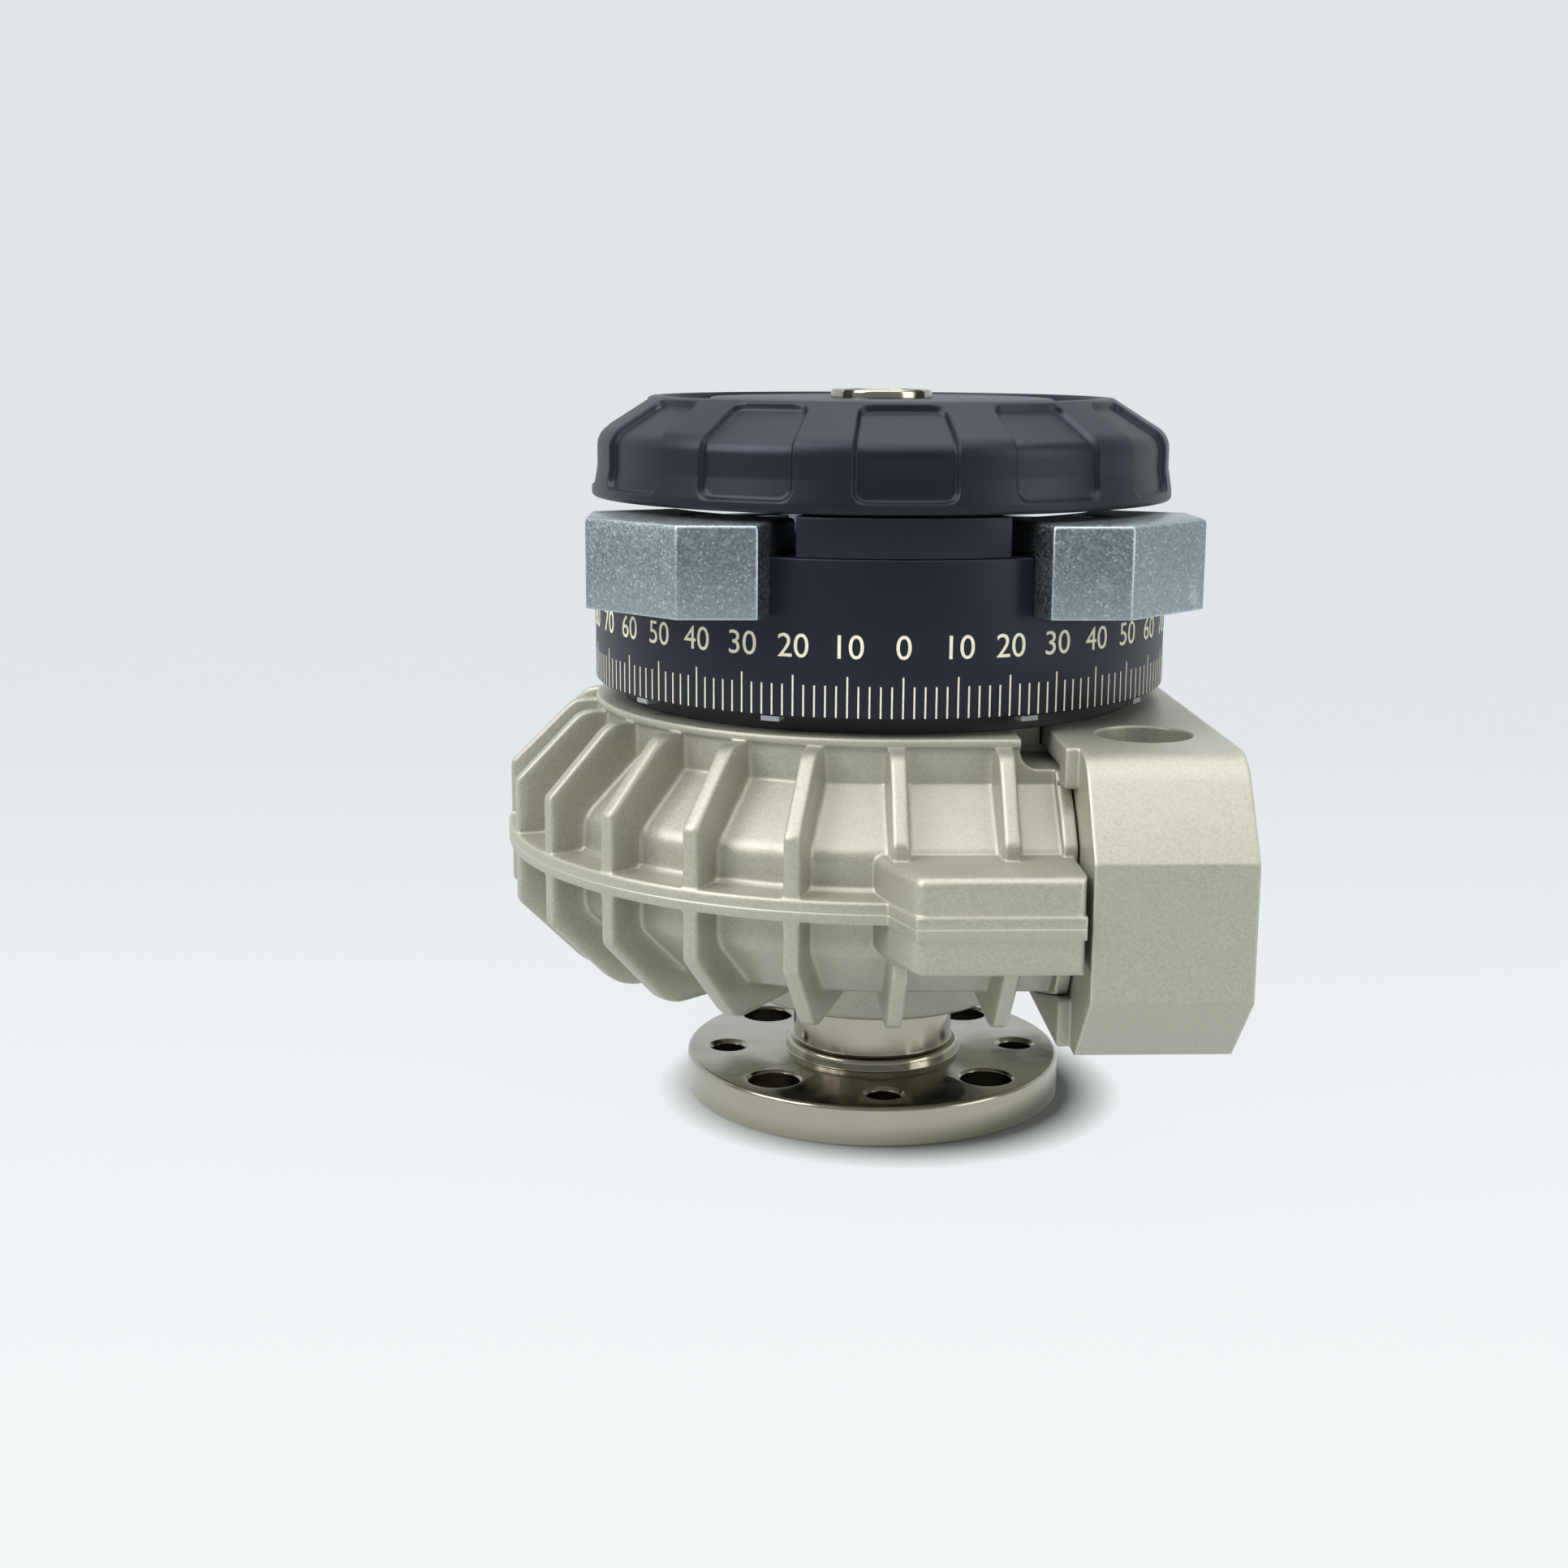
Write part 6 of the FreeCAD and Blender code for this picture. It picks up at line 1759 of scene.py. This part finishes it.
    def build_nut(self) -> None:
        """Build the slotted nut."""
        _, _, disc, _ = self.levels()
        top = disc + self.nut_height
        corners = [
            (self.thread_bore, disc, 0.0),
            (self.nut_radius, disc, 0.0),
            (self.nut_radius, top, 0.5),
            (self.thread_bore, top, 0.25),
        ]
        nut = mesh_object("slotted_nut", turned_ring(rounded_outline(corners, 3), 120))
        for index in range(4):
            turn = math.radians(45.0 + QUARTER_TURN * index)
            inner, outer = self.slot_run
            half = self.slot_half
            plan = [(-half, -outer), (half, -outer), (half, -inner), (-half, -inner)]
            slot = plan_slab(plan, disc - OVER, top + OVER)
            slot.transform(Matrix.Rotation(turn, 4, "Z"))
            combine(nut, slot, Join.CUT)
        smooth_by_angle(nut)
        self.dress(nut, self.finishes.nickel, "rotor", "nickel_steel", ["cap_nut"])


@dataclass
class OutputShaft(Assembly):
    """Hollow shaft with its output flange."""

    flange_radius: float = 34.0
    flange_height: float = 7.0
    bead_radius: float = 15.85
    bead_height: float = 2.4
    neck: float = 14.45
    neck_top: float = 25.0
    middle: float = 12.5
    middle_top: float = 63.2
    upper: float = 10.0
    upper_top: float = 112.05
    thread: float = 6.0
    top: float = 126.2
    bore: float = 4.0
    circle: float = 26.5
    hole_count: int = 8
    tapped: Pair = (3.0, 0.65)
    through: Pair = (4.5, 0.4)
    chamfer_over: float = 0.2

    def profile(self) -> list[Pair]:
        """Section of the shaft and its flange."""
        bead_top = self.flange_height + self.bead_height
        corners = [
            (self.bore, 0.0, 0.4),
            (self.flange_radius, 0.0, 0.4),
            (self.flange_radius, self.flange_height, 0.7),
            (self.bead_radius, self.flange_height, 0.2),
            (self.bead_radius, bead_top, 1.1),
            (self.neck, bead_top, 0.2),
            (self.neck, self.neck_top, 0.0),
            (self.middle, self.neck_top, 0.0),
            (self.middle, self.middle_top, 0.0),
            (self.upper, self.middle_top, 0.0),
            (self.upper, self.upper_top, 0.0),
            (self.thread, self.upper_top, 0.0),
            (self.thread, self.top, 0.3),
            (self.bore, self.top, 0.3),
        ]
        return rounded_outline(corners, 5)

    def build(self) -> bpy.types.Object:
        """Build the shaft and put it in place of its node."""
        shaft = mesh_object("flanged_shaft", turned_ring(self.profile(), 240))
        top, over = self.flange_height, self.chamfer_over
        for index in range(self.hole_count):
            place = polar(self.circle, FULL_TURN / self.hole_count * index, 0.0)
            radius, chamfer = self.tapped if index % 2 == 0 else self.through
            wide = radius + chamfer + over
            cuts = [
                disc_mesh(radius, -OVER, top + OVER, place.x, place.y, 64),
                cone_mesh((radius, wide), (top - chamfer, top + over), place.x, place.y),
                cone_mesh((wide, radius), (-over, chamfer), place.x, place.y),
            ]
            for cutter in cuts:
                combine(shaft, cutter, Join.CUT)
        smooth_by_angle(shaft)
        return self.dress(shaft, self.finishes.nickel, "rotor", "nickel_steel", ["flange_shaft"])


@dataclass
class CarriedOver(Assembly):
    """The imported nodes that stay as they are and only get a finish."""

    nodes: dict[str, bpy.types.Object] = field(default_factory=dict)

    def finish_of(self, name: str) -> bpy.types.Material:
        """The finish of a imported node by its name."""
        by_word = (
            ("balls", self.finishes.hard_steel),
            ("ring_pads", self.finishes.pad),
            ("cage", self.finishes.brass),
            ("bearing", self.finishes.hard_steel),
            ("key", self.finishes.hard_steel),
            ("dowel", self.finishes.hard_steel),
            ("seal", self.finishes.rubber),
            ("cushion", self.finishes.rubber),
            ("screw", self.finishes.screw),
            ("circlip", self.finishes.screw),
            ("clamp_plate", self.finishes.zinc),
            ("lever", self.finishes.zinc),
            ("vane", self.finishes.aluminium),
            ("divider", self.finishes.aluminium),
            ("housing", self.finishes.paint),
            ("block", self.finishes.paint),
            ("shaft", self.finishes.nickel),
            ("nut", self.finishes.nickel),
            ("cap", self.finishes.plastic),
            ("carrier", self.finishes.black),
        )
        return next((material for word, material in by_word if word in name), self.finishes.anodised)

    def build(self) -> None:
        """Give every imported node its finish."""
        for name, node in sorted(self.nodes.items()):
            material = self.finish_of(name)
            node.data.materials.clear()
            node.data.materials.append(material)
            smooth_by_angle(node)
            LOG.info("node %s: %s", name, material.name)


@dataclass
class Studio:
    """Pale floor and backdrop, soft lamps and the camera at the photo's place."""

    image_width: float = 1932.0
    focal_pixels: float = 2631.9
    sensor: float = 36.0
    camera_place: Corner = (-0.03092, -0.37716, 0.13332)
    heading: float = 2.178
    pitch: float = 11.55
    roll: float = 0.327
    # Tones of the paper away from the drive, lighter at the front and darker at the back: a painted falloff
    # of light.
    near_colour: str = "#f5fafb"
    far_colour: str = "#e4eaee"
    paper_colour: str = "#d9dcdc"
    # Darker paper colour that only the camera sees near the drive: painted shadow.
    shadow_colour: str = "#868a87"
    back_colour: str = "#e6ecef"
    near_edge: float = -0.15
    far_edge: float = 0.35
    # Centre and reach of the painted shadow around the drive, in metres.
    shadow_centre: Corner = (0.003, -0.0015, 0.0)
    shadow_reach: Pair = (0.0325, 0.0425)
    shown_share: Pair = (0.0, 0.94)
    fibre: float = 1.5
    fibre_share: float = 0.03
    sheet: tuple[float, ...] = (6000.0, -2500.0, 900.0, 500.0, 3000.0)
    sink: float = 0.05
    bend_steps: int = 16
    surround_strength: float = 0.38

    def camera(self) -> None:
        """Put the camera where the photo was taken."""
        data = bpy.data.cameras.new("photo_camera")
        data.sensor_width = self.sensor
        data.lens = self.sensor * self.focal_pixels / self.image_width
        data.clip_start = 0.01
        data.clip_end = 50.0
        holder = bpy.data.objects.new("photo_camera", data)
        bpy.context.scene.collection.objects.link(holder)
        turn = Matrix.Rotation(-math.radians(self.heading), 4, "Z")
        tilt = Matrix.Rotation(math.radians(QUARTER_TURN - self.pitch), 4, "X")
        lean = Matrix.Rotation(math.radians(self.roll), 4, "Z")
        holder.matrix_world = Matrix.Translation(self.camera_place) @ turn @ tilt @ lean
        bpy.context.scene.camera = holder

    def lamp(self, name: str, place: Corner, aim: Corner, size: Pair, watts: float) -> None:
        """Add one soft box aimed at a point."""
        data = bpy.data.lights.new(name, "AREA")
        data.shape = "RECTANGLE"
        data.size, data.size_y = size
        data.energy = watts
        holder = bpy.data.objects.new(name, data)
        bpy.context.scene.collection.objects.link(holder)
        holder.location = place
        holder.rotation_mode = "QUATERNION"
        holder.rotation_quaternion = (Vector(aim) - Vector(place)).to_track_quat("-Z", "Y")

    def pale(self, name: str) -> bpy.types.Material:
        """Matte paper: near the drive, real light and shadow on a darker colour that only the camera sees, a
        painted shadow; further away, a tone of its own, lighter at the front and darker at the back, a
        painted falloff of light.
        """
        material = bpy.data.materials.new(name)
        material.use_nodes = True
        tree = material.node_tree
        tree.nodes.clear()
        place = add_node(tree, "ShaderNodeTexCoord").outputs["Object"]
        depth = add_node(tree, "ShaderNodeSeparateXYZ", None, {0: place}).outputs[1]
        centre = {"operation": "SUBTRACT", 1: self.shadow_centre}
        shifted = add_node(tree, "ShaderNodeVectorMath", centre, {0: place}).outputs[0]
        reach = add_node(tree, "ShaderNodeVectorMath", {"operation": "LENGTH"}, {0: shifted}).outputs["Value"]
        settings = {"Scale": per_metre(self.fibre), "Detail": 2.0, "Roughness": NOISE_CONTRAST}
        fibres = add_node(tree, "ShaderNodeTexNoise", settings, {"Vector": place}).outputs["Fac"]
        matte_tone = blend(tree, self.paper_colour, self.far_colour, fibres, most=self.fibre_share)
        # Painted falloff of light: the paper's own tone is lighter at the front and darker at the back.
        shown_tone = blend(tree, self.near_colour, self.far_colour, depth, (self.near_edge, self.far_edge))
        path = add_node(tree, "ShaderNodeLightPath")
        seen = path.outputs["Is Camera Ray"]
        # Painted shadow: the camera sees the paper in a darker colour than the light that bounces off it.
        painted_shadow_matte = blend(tree, matte_tone, self.shadow_colour, seen)
        matte = add_node(tree, "ShaderNodeBsdfDiffuse", None, {"Color": painted_shadow_matte})
        glow = add_node(tree, "ShaderNodeEmission", {"Strength": 1.0}, {"Color": shown_tone})
        for kind in ("Is Glossy Ray", "Is Transmission Ray"):
            links = {0: seen, 1: path.outputs[kind]}
            seen = add_node(tree, "ShaderNodeMath", {"operation": "MAXIMUM"}, links).outputs[0]
        limits = {
            "From Min": self.shadow_reach[0],
            "From Max": self.shadow_reach[1],
            "To Min": self.shown_share[0],
            "To Max": self.shown_share[1],
        }
        # Near the drive only the darkened paper shows; further out the paper's own tone takes over, so the
        # painted shadow fades with distance from its centre.
        shown = add_node(tree, "ShaderNodeMapRange", limits, {"Value": reach}).outputs[0]
        share = add_node(tree, "ShaderNodeMath", {"operation": "MULTIPLY"}, {0: seen, 1: shown}).outputs[0]
        links = {0: share, 1: matte.outputs[0], 2: glow.outputs[0]}
        both = add_node(tree, "ShaderNodeMixShader", None, links)
        add_node(tree, "ShaderNodeOutputMaterial", None, {"Surface": both.outputs[0]})
        return material

    def floor(self) -> None:
        """Floor that curves up into the backdrop."""
        wide, front, back, bend, height = self.sheet
        low = -self.sink
        outline: list[Pair] = [(front, low), (back, low)]
        for step in range(1, self.bend_steps + 1):
            angle = math.radians(QUARTER_TURN * step / self.bend_steps)
            outline.append((back + bend * math.sin(angle), low + bend * (1.0 - math.cos(angle))))
        outline.append((back + bend, height))
        rows = [[Vector((x, y, z)) for x in (-wide, 0.0, wide)] for y, z in outline]
        backdrop = mesh_object("paper_backdrop", grid_mesh(rows, False, False))
        backdrop.data.shade_smooth()
        backdrop.data.materials.append(self.pale("studio_paper"))

    def world(self) -> None:
        """Even pale surroundings."""
        world = bpy.data.worlds.new("studio_surroundings")
        bpy.context.scene.world = world
        world.use_nodes = True
        tree = world.node_tree
        tree.nodes.clear()
        settings = {"Color": linear(self.back_colour), "Strength": self.surround_strength}
        sky = add_node(tree, "ShaderNodeBackground", settings)
        shown = add_node(tree, "ShaderNodeBackground", {"Color": linear(self.far_colour), "Strength": 1.0})
        path = add_node(tree, "ShaderNodeLightPath")
        links = {0: path.outputs["Is Camera Ray"], 1: sky.outputs[0], 2: shown.outputs[0]}
        both = add_node(tree, "ShaderNodeMixShader", None, links)
        add_node(tree, "ShaderNodeOutputWorld", None, {"Surface": both.outputs[0]})

    def build(self) -> None:
        """Set up the floor, the lamps, the surroundings and the camera."""
        self.floor()
        self.world()
        middle = (0.0, 0.0, 0.07)
        self.lamp("overhead_box", (0.0, -0.1, 0.9), middle, (1.1, 1.1), 9.0)
        self.lamp("upper_left_box", (-0.8, -0.35, 0.75), middle, (0.7, 0.7), 10.0)
        self.lamp("right_box", (0.85, -0.5, 0.4), middle, (0.5, 0.7), 3.4)
        self.camera()
        bpy.context.scene.view_settings.view_transform = "Standard"


def main() -> None:
    """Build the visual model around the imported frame."""
    logging.basicConfig(level=logging.INFO, format="%(name)s %(message)s")
    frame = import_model()
    finishes = make_finishes()
    CarriedOver(finishes, frame["nodes"]).build()
    HousingHalf(finishes, side=Side.UPPER).build()
    HousingHalf(finishes, side=Side.LOWER).build()
    PortBlock(finishes).build()
    DegreeRing(finishes).build()
    EndStop(finishes, right=True).build()
    EndStop(finishes, right=False).build()
    TurningCap(finishes).build()
    OutputShaft(finishes).build()
    Studio().build()


if __name__ == "__main__":
    main()
